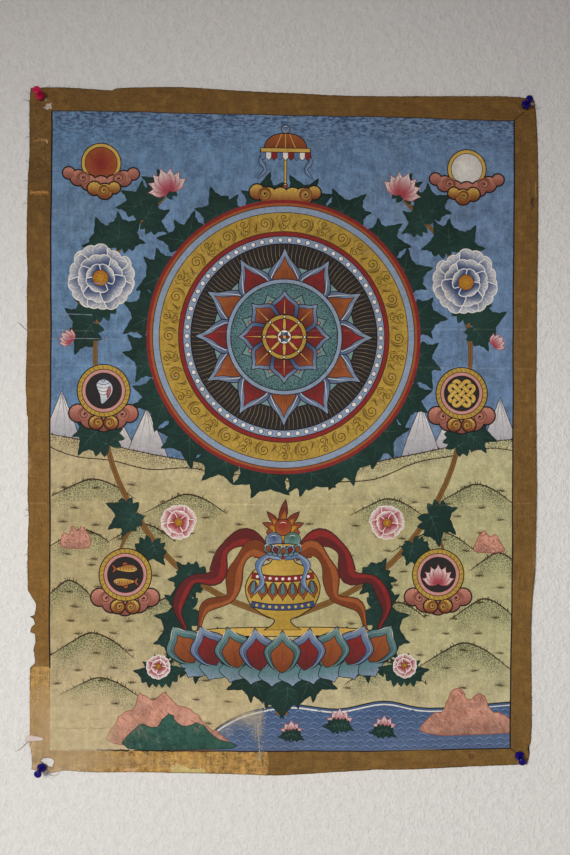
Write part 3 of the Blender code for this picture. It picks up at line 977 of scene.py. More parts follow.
def drawMeadow():
    for number, hill in enumerate(panel["hills"]):
        drawHill(*hill, seed=number)
    dice = random.Random(11)
    for row in range(15):
        for column in range(13):
            x = -232 + 38.5 * column + (row % 2) * 19 + dice.uniform(-9, 9)
            y = -60 - 17.5 * row + dice.uniform(-6, 6)
            free = abs(complex(x, y + 166)) > 74 and not (abs(x) < 118 and y > -90)
            if free and abs(x) < 240 and y > -318 and y > heightAt(x, np.array(panel["shore"])) + 6:
                drawTuft(x, y, dice)


# sprays of leaves: turn, x, y, length
sprays = {
    "vine": (
        (168, -92, -160, 34), (-62, -104, -150, 32), (205, -158, -86, 36), (118, -186, -14, 34),
        (186, -198, 2, 34), (200, -204, 116, 38), (72, -202, 128, 36), (160, -186, 196, 36),
        (40, -178, 204, 34), (136, -150, 240, 34), (96, -128, 254, 30), (20, -150, 226, 30),
        (-110, -140, -118, 30),
    ),
    "meadow": (
        (195, -96, -188, 40), (160, -100, -206, 38), (215, -84, -236, 40), (176, -104, -224, 34),
    ),
    "foot": (
        (200, -8, -256), (232, -6, -270), (168, -34, -246), (250, -30, -258),
        (150, -62, -238),
    ),
}


def drawPicture():
    drawSky()
    drawMeadow()
    drawWater()
    wheel = Spot(*panel["wheel"])
    vase = Spot(*panel["vase"])

    # the vine and what grows on it
    for number, side in enumerate(bothSides(0, 0)):
        drawStem(side, [-12-196j, -70-172j, -128-128j, -176-52j, -196+30j, -200+110j, -176+196j,
                        -128+252j], 6.0)
        drawStem(side, [-150-92j, -168-112j, -176-134j], 3.6)
        drawStem(side, [-199+96j, -214+122j, -222+150j], 3.6)
        for turn, x, y, length in sprays["vine"]:
            drawLeaves(side.near(x, y, turn), length, (-34, 3, 36), seed=number * 50 + int(turn + x))
    for number in range(20):
        angle = 18 * number + 9
        spray = wheel.near(140 * math.cos(math.radians(angle)), 140 * math.sin(math.radians(angle)), angle)
        drawLeaves(spray, 40 if angle > 180 else 37, (-40, -2, 36), seed=200 + number)
    for side in bothSides(0, 0):  # sprays on the meadow
        for turn, x, y, length in sprays["meadow"]:
            drawLeaves(side.near(x, y, turn), length, (-36, 0, 34), seed=int(400 + turn + x))
    for side in bothSides(-196, 164):
        drawPeony(side, 34, hue.white, hue.yellow, (60, 76, 116), 12)
    for side in bothSides(-112, -96):
        drawPeony(side, 19, hue.white, hue.yellow, hue.pinkDark, 40)
    for side in bothSides(-124, 258):
        drawLotus(side.near(turn=22), 25, hue.white, hue.pinkDark, 7, 150)
    for side in bothSides(-226, 96):
        drawLotus(side.near(turn=50), 15, hue.white, hue.pinkDark, 5, 100)

    # sun, moon and clouds
    for number, side in enumerate(bothSides(-196, 286)):
        disc = (hue.red, hue.orange) if number == 0 else (hue.white, hue.moon)
        inked(side, circle(21, 40), hue.goldLight, 1.0)
        inked(side, circle(17, 36), disc[0], 0.7, glow=(disc[1], 0, 18))
        drawCloud(side.near(0, -14), ((-24, -2, 8), (-13, -7, 8), (0, -9, 9), (13, -7, 8), (24, -2, 8),
                                      (-34, 3, 6), (34, 3, 6)), hue.salmon, hue.salmonDark,
                  ((-19, -2, 6.0, 40, False), (19, -2, 6.0, 140, True)))
        drawCloud(side.near(2, -27), ((-9, 0, 7), (2, -3, 8), (12, 1, 6)), hue.goldLight, hue.orangeDark,
                  ((1, -2, 5.0, 60, False),))
    drawCloud(Spot(0, 254), ((-30, 4, 8), (-18, 0, 9), (-5, 0, 9), (8, 0, 9), (20, 0, 9), (31, 4, 7)),
              hue.goldLight, hue.orangeDark, ((-22, 2, 6, 30, False), (22, 2, 6, 150, True)))
    drawParasol(Spot(0, 300))

    # signs in their round fields
    signs = ((-192, 44, drawConch, 15.0), (192, 44, drawKnot, 6.4), (-168, -152, drawFish, 13.0),
             (168, -152, None, 15.0))
    for x, y, sign, size in signs:
        field = Spot(x, y)
        drawCloud(field.near(0, -22),
                  ((-27, -2, 9), (-14, -8, 10), (0, -11, 10), (14, -8, 10), (27, -2, 9)), hue.salmon,
                  hue.salmonDark, ((-20, -3, 6.5, 40, False), (20, -3, 6.5, 140, True)))
        drawCloud(field.near(0, -34), ((-8, 0, 7), (8, 0, 7)), hue.goldLight, hue.orangeDark,
                  ((-6, 0, 4.6, 60, False), (6, 0, 4.6, 120, True)))
        drawSeal(field, 28)
        if sign is drawFish:
            sign(field.near(0, 6), size)
            sign(field.near(0, -7, 180), size)
        elif sign is not None:
            sign(field, size)
        else:
            drawLotus(field.near(0, -9), 20, hue.white, hue.pinkDark, 7, 150)

    drawWheel(wheel)
    drawRosette(wheel)

    # the vase on its lotus, with its scarves and jewels
    for side in bothSides(0, 0):
        drawStem(side, [0-226j, -4-262j, -2-302j], 9.0, 0.9)
        for turn, x, y in sprays["foot"]:
            drawLeaves(side.near(x, y, turn), 34, (-30, 4, 34), seed=int(x + turn))
    for side in bothSides(0, 0):
        drawScarf(side, [-14-130j, -40-112j, -64-126j, -72-154j, -98-158j, -112-186j, -104-210j], 20,
                  hue.redDark, hue.red)
        drawScarf(side, [-12-132j, -34-124j, -50-146j, -56-176j, -82-186j, -90-212j], 19,
                  hue.orangeDark, hue.orange)
    drawThrone(Spot(0, -216), 9, 214, 46)
    drawVase(vase)
    for side in bothSides(0, 0):
        drawScarf(side, [-2-134j, -15-131j, -26-142j, -22-160j, -31-172j], 8, hue.blue, hue.blueLight)
    drawFlame(Spot(0, -108), 29, hue.redDark, hue.orange)
    for x, y, colour, light in ((-10, -115, hue.blueDark, hue.blueLight),
                                (10, -115, hue.moss, hue.tealLight), (0, -101, hue.red, hue.orange)):
        drawJewel(Spot(x, y), 9.0, colour, light)
    drawThrone(Spot(0, -121, 0, 0.3), 5, 104, 34)

    # rocks and offerings on the shore
    drawRock(Spot(-134, -300, 0, 42), [-1.1-0.8j, -0.95-0.1j, -0.6+0.1j, -0.45+0.5j, -0.1+0.3j, 0.2+0.55j,
                                       0.5+0.2j, 0.95+0.05j, 1.3-0.35j, 1.6-0.5j, 1.75-0.88j], 3)
    drawRock(Spot(-124, -316, 0, 34), [-1.2-0.6j, -0.8+0.1j, -0.3+0.05j, 0.1+0.42j, 0.5+0.1j, 1.1+0.16j,
                                       1.5-0.25j, 2.1-0.62j], 5, hue.moss, (34, 62, 58))
    drawRock(Spot(196, -296, 0, 30), [-1.4-0.9j, -1.1-0.2j, -0.7-0.1j, -0.5+0.5j, -0.1+0.7j, 0.2+0.3j,
                                      0.7+0.5j, 1.0-0.1j, 1.6-0.3j, 1.75-0.9j], 7)
    drawRock(Spot(-222, -112, 0, 13), [-1-0.8j, -0.9+0.3j, -0.4+0.2j, -0.2+0.9j, 0.3+0.5j, 0.6+0.9j,
                                       1.1+0.2j, 1.2-0.8j], 8)
    drawRock(Spot(222, -116, 0, 13), [-1.1-0.8j, -0.8+0.4j, -0.3+0.9j, 0.1+0.4j, 0.6+0.6j, 0.9+0.1j,
                                      1.3-0.8j], 9)
    for side in bothSides(-132, -262):
        drawLeaves(side.near(0, 0, 90), 30, (-62, -30, 0, 32, 64), seed=77)
        drawPeony(side.near(0, 12), 13, hue.white, hue.yellow, hue.pinkDark, 10)
    for x, y, size in ((62, -312, 1.0), (110, -318, 0.9), (10, -322, 0.85)):
        drawLotus(Spot(x, y, 0, size), 17, hue.white, hue.pinkDark if x > 0 else hue.blueDark, 5, 130)
        drawLeaves(Spot(x, y, 0, size), 18, (-158, -22), seed=int(x))


# ---- the cloth

cloth = {
    "thickness": 0.9,
    "fringe": 0.11,  # how far the cut edge strays, point to point
    "stepAlongEdge": 2.4,
    "frontGrid": 5.0,
    "backGrid": 14.0,
    # folds across the cloth: height, width, the points it runs through
    "creases": (
        (0.30, 2.6, (-272+108j, -120+107j, 40+110j, 160+113j, 274+114j)),
        (0.25, 2.8, (-272+71j, -90+70j, 90+72j, 274+71j)),
        (0.2, 3.0, (-272-76j, -150-74j, 20-78j, 150-77j, 274-74j)),
    ),
    # rubbed places: middle, half width, half height, how much paint is gone
    "worn": (
        (-224-316j, 48, 44, 0.92),
        (-240-322j, 20, 34, 0.5),
        (-128-310j, 56, 34, 0.12),
        (-70-300j, 36, 26, 0.3),
        (-24-318j, 7, 26, 0.3),
        (-40-300j, 22, 14, 0.45),
        (-160-352j, 110, 9, 0.4),
        (-259-290j, 12, 44, 0.34),
        (-260+310j, 12, 26, 0.28),
        (-269-34j, 4, 13, 0.4),
        (272-138j, 2.4, 18, 0.5),
        (262+268j, 4, 12, 0.4),
        (100+330j, 90, 14, 0.16),
    ),
}

# the hem beside the lower left pin hangs a little higher than in the solid, in mm
cornerLift = {"x": (-262, -252, -244, -236), "up": (0, 3.2, 2.0, 0)}

# small marks on the border and at the panel's foot, drawn over the rest: tone, outline
marks = (
    ((200, 192, 184), (-257.7+343.2j, -253.6+348.0j, -248.3+349.2j, -248.2+342.8j, -253.5 + 341.6j)),
    ((190, 178, 166), (-255.6+351.4j, -253.7+351.2j, -253.4+353.4j, -255+354.2j)),
    ((228, 220, 216), (265+356.8j, 268.6+356.3j, 269+358.2j, 265.6+359j)),
    # a dark crescent inside the right edge near the lower right pin: painted shade where the edge curls
    ((44, 42, 40), (267.4-337.4j, 269.9-338.6j, 270.6-345.8j, 268.3-347.6j, 266.8-342.5j)),
    ((70, 58, 40), (265.8+256j, 269.4+257j, 269.8+246j, 266.6+243j, 265.2+250j)),
    ((204, 186, 126), (-119.5-357.5j, -117-355j, -111-353.6j, -104-354.2j, -99.5-357.8j, -93 - 358.6j,
                       -86-357.6j, -81.5-359.2j, -81-363.2j, -92-364.6j, -108 - 364.6j, -117-364.2j)),
    ((204, 160, 116), (-170-361.2j, -165-358.2j, -157-358j, -153.6-356.4j, -153-360j, -158 - 362.4j,
                       -166-363.2j)),
    # a dark strip along the lower edge of the folded tab: a painted shadow of the tab
    ((104, 68, 42), (-260.8-330.2j, -259.2-330.6j, -258.9-329.2j, -260.4-328.8j)),
    ((112, 76, 48), (-261.2-336.6j, -259.6-337.8j, -258.4-336.4j, -259.8-335.1j)),
    ((136, 108, 84), (251+349.4j, 253.6+348.4j, 254.6+350j, 252+351.2j)),
)
scratches = (  # tone, width, path
    ((184, 128, 84), 1.7, (-36-362.6j, -27-361.8j, -15-358.6j)),
    ((196, 158, 106), 0.8, (-42-358.8j, -28-357.4j, -16-357.2j)),
    ((198, 164, 108), 0.7, (-141-355.6j, -110-355.1j, -84-356j, -56-355.4j)),
    ((146, 104, 50), 0.9, (-260.5-290j, -259.4-301j, -260.4-311j, -256.4-315j, -252.6-308j, -252.4 - 296j,
                           -254.6-289j)),
    ((190, 160, 112), 0.8, (-269-277j, -258-276.2j, -249-277.2j)),
    ((150, 122, 56), 0.6, (272.2+36j, 271.4+25j, 272+14j, 268.6+8j, 266.8+9j)),
    ((136, 106, 52), 0.6, (252+37j, 262+36.4j, 272+37.6j)),
    ((134, 102, 62), 0.5, (-250.6+364j, -250.9+356j, -250.4+350j)),
    ((172, 124, 78), 0.9, (-271-22j, -269.6-32j, -270.2-44j)),
    ((178, 128, 84), 0.7, (-270-46j, -263-47.6j)),
    ((172, 172, 164), 0.8, (-22.8-293j, -23.6-302j, -23.0-311j)),
    ((160, 164, 164), 1.2, (-25.6-314j, -24.8-328j, -24.0-340j, -24.4-348j)),
    ((146, 156, 168), 0.7, (-29.6-306j, -28.4-318j, -28.8-329j)),
    ((66, 60, 54), 0.8, (-19.8-296j, -21.6-306j, -19.2-312j)),
    ((150, 106, 56), 5.6, (-271+253.8j, -263+252.6j, -257+253.6j, -250.4+253j)),
    ((182, 134, 78), 1.8, (-270+252.8j, -262+254.2j, -252+253.6j)),
    ((150, 114, 68), 3.2, (-268+307.6j, -260+309.4j, -252+308.6j)),
    ((204, 178, 142), 1.3, (-256.4+310.6j, -253.8+309j, -252.8+306j)),
    ((152, 120, 72), 1.6, (271.2+273j, 270.6+265j, 271.4+256j)),
    ((142, 112, 66), 1.2, (262+276j, 264+268j, 263.4+262j)),
    ((132, 150, 170), 0.7, (-247+158j, -220+158.6j, -190+158j)),
    ((134, 152, 172), 0.8, (-247+124.6j, -226+125.2j, -204+124.4j)),
    ((136, 154, 174), 0.7, (-247+98.6j, -214+99.4j, -176+98.8j)),
    ((178, 150, 96), 1.2, (-26-343j, -27.4-352j, -25.4-360j)),
    ((96, 84, 60), 0.8, (-240-315.4j, -214-316.2j, -208-315.2j)),
    ((84, 74, 54), 0.7, (-204-315.6j, -196-316.4j, -188-315.4j)),
    ((206, 178, 128), 0.6, (-270-258j, -260-259.2j, -250-258.6j)),
    ((202, 172, 120), 0.6, (-271-284j, -262-283j, -251-284.4j)),
    ((206, 178, 128), 0.5, (-216-347j, -186-348j, -160-347.2j)),
    ((124, 90, 48), 0.8, (-226-354j, -200-352.6j, -170-354.6j, -146-353.6j)),
)


def loopsOf(triangles):  # the closed loops of directed edges that only one triangle uses
    edges = {(a, b) for a, b, c in triangles} | {(b, c) for a, b, c in triangles}
    edges = edges | {(c, a) for a, b, c in triangles}
    following = {a: b for a, b in edges if (b, a) not in edges}
    loops = []
    while following:
        start, after = next(iter(following.items()))
        loop = [start]
        while following.get(loop[-1]) not in (None, start):
            loop.append(following[loop[-1]])
        for point in loop:
            following.pop(point, None)
        loops.append(loop)
    return loops


def readSolid():  # the outline, the holes and the front of the CAD canvas
    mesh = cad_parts["canvas"].data
    mesh.calc_loop_triangles()
    places = {}
    keys = [tuple(round(c * 1e6) for c in vertex.co) for vertex in mesh.vertices]
    names = [places.setdefault(key, len(places)) for key in keys]
    corners = [Vector(key) / 1e6 for key in places]
    front = [tuple(names[v] for v in t.vertices) for t in mesh.loop_triangles if t.normal.y < -0.7]
    tree = BVHTree.FromPolygons(corners, front)
    loops = [np.array([complex(corners[v].x * 1000, corners[v].z * 1000 + panelMiddle) for v in loop])
             for loop in loopsOf(front)]
    loops.sort(key=lambda loop: -abs(area(loop)))
    return loops[0], loops[1:], tree


def frayed(loop, step, stray, seed):  # a cut edge with more points, none quite in line
    dice = random.Random(seed)
    points = []
    for first, second in zip(loop, np.roll(loop, -1)):
        count = max(1, round(abs(second - first) / step))
        for number in range(count):
            off = dice.gauss(0, stray)
            share = (number + (dice.uniform(-0.25, 0.25) if number else 0)) / count
            points.append(first + (second - first) * (share + 1j * off / abs(second - first)))
    return np.array(points)


class Relief:  # how far the cloth's front stands off the wall, in mm, smoothed from the solid
    def __init__(self, tree, step=5.0, rounds=4):
        self.step = step
        self.low = complex(-285, -375)
        width, height = 115, 152
        self.depth = np.zeros((height, width))
        for row in range(height):
            for column in range(width):
                point = self.low + complex(column, row) * step
                hit = tree.ray_cast(toFrame(point, -1.0), Vector((0, 1, 0)))[0]
                if hit is None:
                    hit = tree.find_nearest(toFrame(point, -0.004))[0]
                self.depth[row, column] = -hit.y * 1000
        for sweep in range(rounds):
            wide = np.pad(self.depth, 1, mode="edge")
            beside = wide[:-2, 1:-1] + wide[2:, 1:-1] + wide[1:-1, :-2] + wide[1:-1, 2:]
            self.depth = (beside + 2 * wide[1:-1, 1:-1]) / 6

    def at(self, points):
        spot = (points - self.low) / self.step
        column = np.clip(spot.real, 0, self.depth.shape[1] - 1.001)
        row = np.clip(spot.imag, 0, self.depth.shape[0] - 1.001)
        x, y = np.floor(column).astype(int), np.floor(row).astype(int)
        u, v = column - x, row - y
        grid = self.depth
        lower = grid[y, x] * (1 - u) + grid[y, x + 1] * u
        upper = grid[y + 1, x] * (1 - u) + grid[y + 1, x + 1] * u
        lift = np.maximum(lower * (1 - v) + upper * v - 1.0, 0.0)
        for height, width, path in cloth["creases"]:
            line = np.array(path)
            off = (points.imag - heightAt(points.real, line)) / width
            uneven = 0.65 + 0.35 * np.sin(points.real / 23.0 + line[0].imag)
            inside = (points.real > line[0].real) & (points.real < line[-1].real + 6)
            lift = lift + inside * uneven * height * np.exp(-(off**2))
        ripple = 0.35 * np.sin(points.imag / 17.0 + 1.3) * np.exp(-np.abs(points.real + 270) / 16)
        ripple = ripple + 0.35 * np.sin(points.imag / 21.0) * np.exp(-np.abs(points.real - 272) / 16)
        inwards = np.abs(np.abs(points.imag) - 362)
        ripple = ripple + 0.3 * np.sin(points.real / 24.0 + 0.7) * np.exp(-inwards / 14)
        return np.maximum(lift + ripple * np.clip(lift / 1.5, 0, 1), 0.0)


def triangulated(points, edges):  # a constrained Delaunay mesh
    found = delaunay_2d_cdt([Vector((z.real, z.imag)) for z in points], edges, [], 0, 1e-4, True)
    made = np.array([complex(v.x, v.y) for v in found[0]])
    return made, np.array(found[2]), found[3]


def gathered(loops, shown, extra):  # points without twins, and the edges of the loops that show
    used, pairs = [extra], []
    count = len(extra)
    for loop, visible in zip(loops, shown):
        kept = visible | np.roll(visible, 1)
        places = np.cumsum(kept) - 1 + count
        following = np.roll(places, -1)
        pairs += [(places[n], following[n]) for n in np.nonzero(visible)[0]]
        used.append(loop[kept])
        count += int(kept.sum())
    keys = np.round(np.concatenate(used) / 0.02)
    unique, index = np.unique(keys, return_inverse=True)
    edges = {(int(min(index[a], index[b])), int(max(index[a], index[b]))) for a, b in pairs
             if index[a] != index[b]}
    return unique * 0.02, sorted(edges)


def sidesThatShow():  # a side of an outline needs no edge where later paint hides all of it
    starts = np.concatenate([layer[0] for layer in layers])
    ends = np.concatenate([np.roll(layer[0], -1) for layer in layers])
    owner = np.repeat(np.arange(len(layers)), [len(layer[0]) for layer in layers])
    hidden = np.ones(len(starts), bool)
    for share in (0.02, 0.5, 0.98):
        hidden &= topLayers(starts * (1 - share) + ends * share) > owner
    return np.split(~hidden, np.cumsum([len(layer[0]) for layer in layers])[:-1])


def within(points, outline, holes):
    kept = windings(points, outline) != 0
    for hole in holes:
        kept &= windings(points, hole) == 0
    return kept


def gridPoints(step, outline, holes, margin):
    columns, rows = np.meshgrid(np.arange(-270, 273, step), np.arange(-362, 366, step))
    points = (columns + 1j * rows).ravel()
    near = kdtree.KDTree(sum(len(loop) for loop in [outline, *holes]))
    count = 0
    for loop in [outline, *holes]:
        for point in loop:
            near.insert((point.real, point.imag, 0), count)
            count += 1
    near.balance()
    clear = np.array([near.find((z.real, z.imag, 0))[2] > margin for z in points])
    return points[within(points, outline, holes) & clear], near


def topLayers(middles):  # which layer shows at each triangle's middle
    top = np.full(len(middles), -1)
    order = np.argsort(middles.real)
    ordered = middles[order]
    for number, (outline, paint, brush) in enumerate(layers):
        low, high = np.searchsorted(ordered.real, (outline.real.min(), outline.real.max()))
        candidates = order[low:high]
        height = middles[candidates].imag
        candidates = candidates[(height >= outline.imag.min()) & (height <= outline.imag.max())]
        if len(candidates):
            inside = windings(middles[candidates], outline) != 0
            top[candidates[inside]] = number
    return top


def facing(points, triangles, way):  # makes every triangle turn the same way
    a, b, c = points[triangles].T
    wrong = ((b - a).conj() * (c - a)).imag * way < 0
    triangles[wrong] = triangles[wrong][:, ::-1]
    return triangles


def detailPoints(outline, holes):  # along the creases, in small rubbed places and just inside the cut edge
    found = [complex(x, heightAt(x, line) + off * width)
             for height, width, path in cloth["creases"] for line in [np.array(path)]
             for x in np.arange(-268, 270, 4.0) for off in (-1.6, -0.8, 0, 0.8, 1.6)
             if line[0].real <= x <= line[-1].real]
    for middle, across, down, lost in cloth["worn"]:
        if min(across, down) < 12:
            found += [middle + complex(x * across, y * down)
                      for x in np.linspace(-1.6, 1.6, 7) for y in np.linspace(-1.6, 1.6, 9)]
    inset = [grown(loop, -1.3 if loop is outline else 1.3) for loop in [outline, *holes] if len(loop) > 14]
    found = np.concatenate([found, *inset])
    return found[within(found, outline, holes)]


def frontSheet(outline, holes, grid):  # every outline of the picture is an edge of the mesh
    loops = [outline, *holes] + [layer[0] for layer in layers]
    shown = [np.ones(len(loop), bool) for loop in [outline, *holes]] + sidesThatShow()
    loose = np.concatenate([grid, detailPoints(outline, holes), extraPoints])
    points, triangles, sources = triangulated(*gathered(loops, shown, loose))
    triangles = triangles[within(points[triangles].mean(axis=1), outline, holes)]
    used, triangles = np.unique(triangles, return_inverse=True)
    points = points[used]
    return points, facing(points, triangles.reshape(-1, 3), 1)


def backSheet(rims, outline, holes):  # coarser, but with the same points along the cut edges
    grid = gridPoints(cloth["backGrid"], outline, holes, 5.0)[0]
    edges = []
    for rim in rims:
        start = len(edges)
        edges += [(start + n, start + (n + 1) % len(rim)) for n in range(len(rim))]
    points, triangles, sources = triangulated(np.concatenate(rims + [grid]), edges)
    biggest, *others = sorted(rims, key=lambda rim: -abs(area(rim)))
    triangles = triangles[within(points[triangles].mean(axis=1), biggest, others)]
    madeFrom = {number: made for made, inputs in enumerate(sources) for number in inputs}
    return points, facing(points, triangles, -1), madeFrom


def addColours(mesh, triangles, points):
    colours, brushes = paintCorners(triangles, points)
    pigment = np.tile(np.append(linear(hue.bare), 1.0), (len(mesh.loops), 1))
    strokes = np.zeros((len(mesh.loops), 4))
    pigment[: 3 * len(triangles), :3] = linear(colours)
    strokes[: 3 * len(triangles)] = brushes
    for name, values in (("pigment", pigment), ("strokes", strokes)):
        layer = mesh.color_attributes.new(name, "FLOAT_COLOR", "CORNER")
        layer.data.foreach_set("color", values.astype(np.float32).ravel())


def addWear(mesh, places, near):  # near finds the closest point of a cut edge
    rubAndCreaseHighlight = np.zeros(len(places))
    for middle, across, down, lost in cloth["worn"]:
        away = places - middle
        rubAndCreaseHighlight += lost * np.exp(-((away.real / across) ** 2) - (away.imag / down) ** 2)
    fromEdge = np.array([near.find((z.real, z.imag, 0))[2] for z in places])
    # the crease mask also carries a painted highlight along the crease ridges
    creased = np.zeros(len(places))
    for height, width, path in cloth["creases"]:
        line = np.array(path)
        off = (places.imag - heightAt(places.real, line)) / (width * 0.55)
        creased = np.maximum(creased, np.exp(-(off**2)) * (places.real < line[-1].real + 6))
    for name, values in (("wear", rubAndCreaseHighlight), ("edge", np.clip(1 - fromEdge / 3.2, 0, 1)),
                         ("crease", creased)):
        layer = mesh.attributes.new(name, "FLOAT", "POINT")
        layer.data.foreach_set("value", values.astype(np.float32))


def addCanvas():
    outline, holes, tree = readSolid()
    raised = np.interp(outline.real, cornerLift["x"], cornerLift["up"]) * (outline.imag < -355)
    outline = frayed(outline + 1j * raised, cloth["stepAlongEdge"], cloth["fringe"], 1)
    holes = [frayed(hole, 2.0, 0.2, 2) if abs(area(hole)) > 20 else hole for hole in holes]
    relief = Relief(tree)
    drawPicture()
    drawBorder()
    print("shapes in the picture:", len(layers))

    grid, near = gridPoints(cloth["frontGrid"], outline, holes, 2.0)
    points, triangles = frontSheet(outline, holes, grid)
    print("front of the cloth:", len(points), "points,", len(triangles), "triangles")
    rims = loopsOf(triangles.tolist())
    flatBack, backTriangles, madeFrom = backSheet([points[rim] for rim in rims], outline, holes)

    frontLift = relief.at(points)
    backLift = relief.at(flatBack)
    shared = {}
    for number, vertex in enumerate(vertex for rim in rims for vertex in rim):
        backLift[madeFrom[number]] = frontLift[vertex]
        shared[vertex] = len(points) + madeFrom[number]
    places = np.concatenate([points, flatBack])
    depths = -np.concatenate([frontLift + cloth["thickness"], backLift])
    corners = np.stack([places.real, depths, places.imag - panelMiddle], 1) / 1000
    faces = triangles.tolist() + (backTriangles + len(points)).tolist()
    for rim in rims:
        for first, second in zip(rim, rim[1:] + rim[:1]):
            faces.append((second, first, shared[first], shared[second]))

    mesh = bpy.data.meshes.new("paintedCanvas")
    mesh.from_pydata(corners.tolist(), [], faces)
    piece = linked(bpy.data.objects.new("paintedCanvas", mesh))
    addColours(mesh, triangles, points)
    addWear(mesh, places, near)
    loopVertices = np.zeros(len(mesh.loops), np.int32)
    mesh.loops.foreach_get("vertex_index", loopVertices)
    unwrap(mesh, places[loopVertices], len(triangles) * 3)
    for material in (paintedFinish(), backFinish(), cutFinish()):
        mesh.materials.append(material)
    slots = np.full(len(mesh.polygons), 2, np.int32)
    slots[: len(triangles) + len(backTriangles)] = 1
    slots[: len(triangles)] = 0
    mesh.polygons.foreach_set("material_index", slots)
    mesh.shade_smooth()
    mesh.set_sharp_from_angle(angle=math.radians(50))
    return piece, relief, outline


def paintCorners(triangles, points):
    top = topLayers(points[triangles].mean(axis=1))
    colours = np.zeros((len(triangles), 3, 3))
    brushes = np.zeros((len(triangles), 3, 4))
    order = np.argsort(top, kind="stable")
    starts = np.searchsorted(top[order], np.arange(-1, len(layers)))
    ends = np.append(starts[1:], len(order))
    for number, start, end in zip(range(-1, len(layers)), starts, ends):
        if start == end:
            continue
        chosen = order[start:end]
        places = points[triangles[chosen]].ravel()
        paint, brush = (borderTone, onBorder) if number < 0 else layers[number][1:]
        colours[chosen] = paint(places).reshape(-1, 3, 3)
        if callable(brush):
            brushes[chosen] = brush(places).reshape(-1, 3, 4)
        elif brush is not None:
            brushes[chosen] = brush
    return colours.reshape(-1, 3), brushes.reshape(-1, 4)


def unwrap(mesh, places, frontLoops):  # the front fills three quarters of the map, the back the rest
    sheet = mesh.uv_layers.new(name="OFBake")
    u = (places.real + 276) / 552
    v = (places.imag + 368) / 736
    across = np.where(np.arange(len(places)) < frontLoops, 0.004 + 0.742 * u, 0.754 + 0.242 * u)
    sheet.data.foreach_set("uv", np.stack([across, 0.004 + 0.992 * v], 1).astype(np.float32).ravel())


def borderTone(points):
    share = np.clip((230 - points.imag) / 420, 0, 1)
    left = blend(hue.border, hue.borderWorn, share)
    # handled darker near the pin
    left = left * (1 - 0.13 * np.exp(-(((points.imag - 272) / 52) ** 2)))[:, None]
    return np.where((points.real < -200)[:, None], left, blend(hue.border, hue.borderRight, share))


def ochreTone(points):  # ochre up the side and along the foot, bare cloth at the corner
    share = np.maximum((points.imag + 332) / 12, (points.real + 232) / 56)
    return blend(hue.bare, hue.ochre, share)


def daub(outline, colour):
    lay(outline, plain(colour), onBorder, True)


def drawBorder():
    lowLeft, lowRight, topRight, topLeft = panel["corners"]
    ochreTop, ochreEnd = -250.5, -14.8
    outline = [-290 + (ochreTop - 1) * 1j, -290-380j, ochreEnd - 0.6 - 380j, ochreEnd + 0.7 - 352j,
               ochreEnd - 1 - 340.2j, lowLeft, complex(-247.9, ochreTop), complex(-258, ochreTop + 0.9)]
    lay(np.array(outline), ochreTone, onOchre, True)
    foot = lowRight - lowLeft
    ruled = (
        (lowLeft + 0.03 * foot, lowLeft + 0.09 * foot, 1.5),
        (lowLeft + 0.1 * foot, lowLeft + 0.17 * foot, 1.9),
        (lowLeft + 0.18 * foot, lowLeft + 0.27 * foot, 1.2),
        (lowLeft + 0.27 * foot, lowRight, 1.2),
        (lowRight, topRight, 1.5),
        (topRight, topLeft, 1.0),
        (topLeft, complex(-247.6, ochreTop - 1), 1.6),
    )
    for start, end, width in ruled:
        colour = (64, 58, 48) if start == topRight else hue.ink
        share = np.linspace(0, 1, 40)
        waver = 0.28 * np.sin(share * 19) + 0.14 * np.sin(share * 53)
        line = start + (end - start) * share + 1j * (end - start) / abs(end - start) * waver
        stroke(here, line, colour, width, everywhere=True)
    for start, end in ((topRight, topRight + 10.8 + 9.4j), (lowRight, lowRight + 8.8 - 6.6j)):
        stroke(here, np.linspace(start, end, 4), hue.ink, 0.9, everywhere=True)
    daub(circle(2.6, 10, 205.8-344.8j), (134, 104, 66))  # a stain under the foot
    daub(circle(3.1, 12, 205.5-349.1j), (98, 66, 34))
    daub(circle(1.7, 9, 205.2-348.8j), (110, 74, 36))
    for tone, shape in marks:
        daub(bulged(shape, 0.12, 2), tone)
    for tone, width, path in scratches:
        path = smooth(path, 4, closed=False)
        uneven = 0.35 + 0.65 * np.abs(np.sin(np.arange(len(path)) * 1.9 + path[0].real))
        daub(ribbon(path, width * uneven), tone)
    dice = random.Random(6)
    for number in range(80):  # flecks in the rubbed stretch near the upper left pin
        middle = complex(dice.triangular(-271, -250, -262), dice.triangular(268, 342, 300))
        reach = dice.uniform(0.4, 1.5)
        fleck = middle + reach * np.array([-0.5-0.3j, 0.4-0.5j, 0.6+0.3j, -0.2+0.5j])
        daub(fleck, dice.choice(((150, 116, 76), (132, 98, 60), (74, 52, 30))))
    for number in range(70):  # flecks down the rubbed fold near the panel's foot
        height = dice.uniform(-352, -288)
        middle = complex(-23.6 + 2.2 * math.sin(height / 7) + dice.gauss(0, 2.0), height)
        reach = dice.uniform(0.4, 1.3)
        fleck = middle + reach * np.array([-0.5-0.6j, 0.4-0.9j, 0.5+0.7j, -0.3+0.9j])
        daub(fleck, dice.choice(((176, 170, 152), (156, 158, 158), (132, 128, 116))))


# ---- finishes


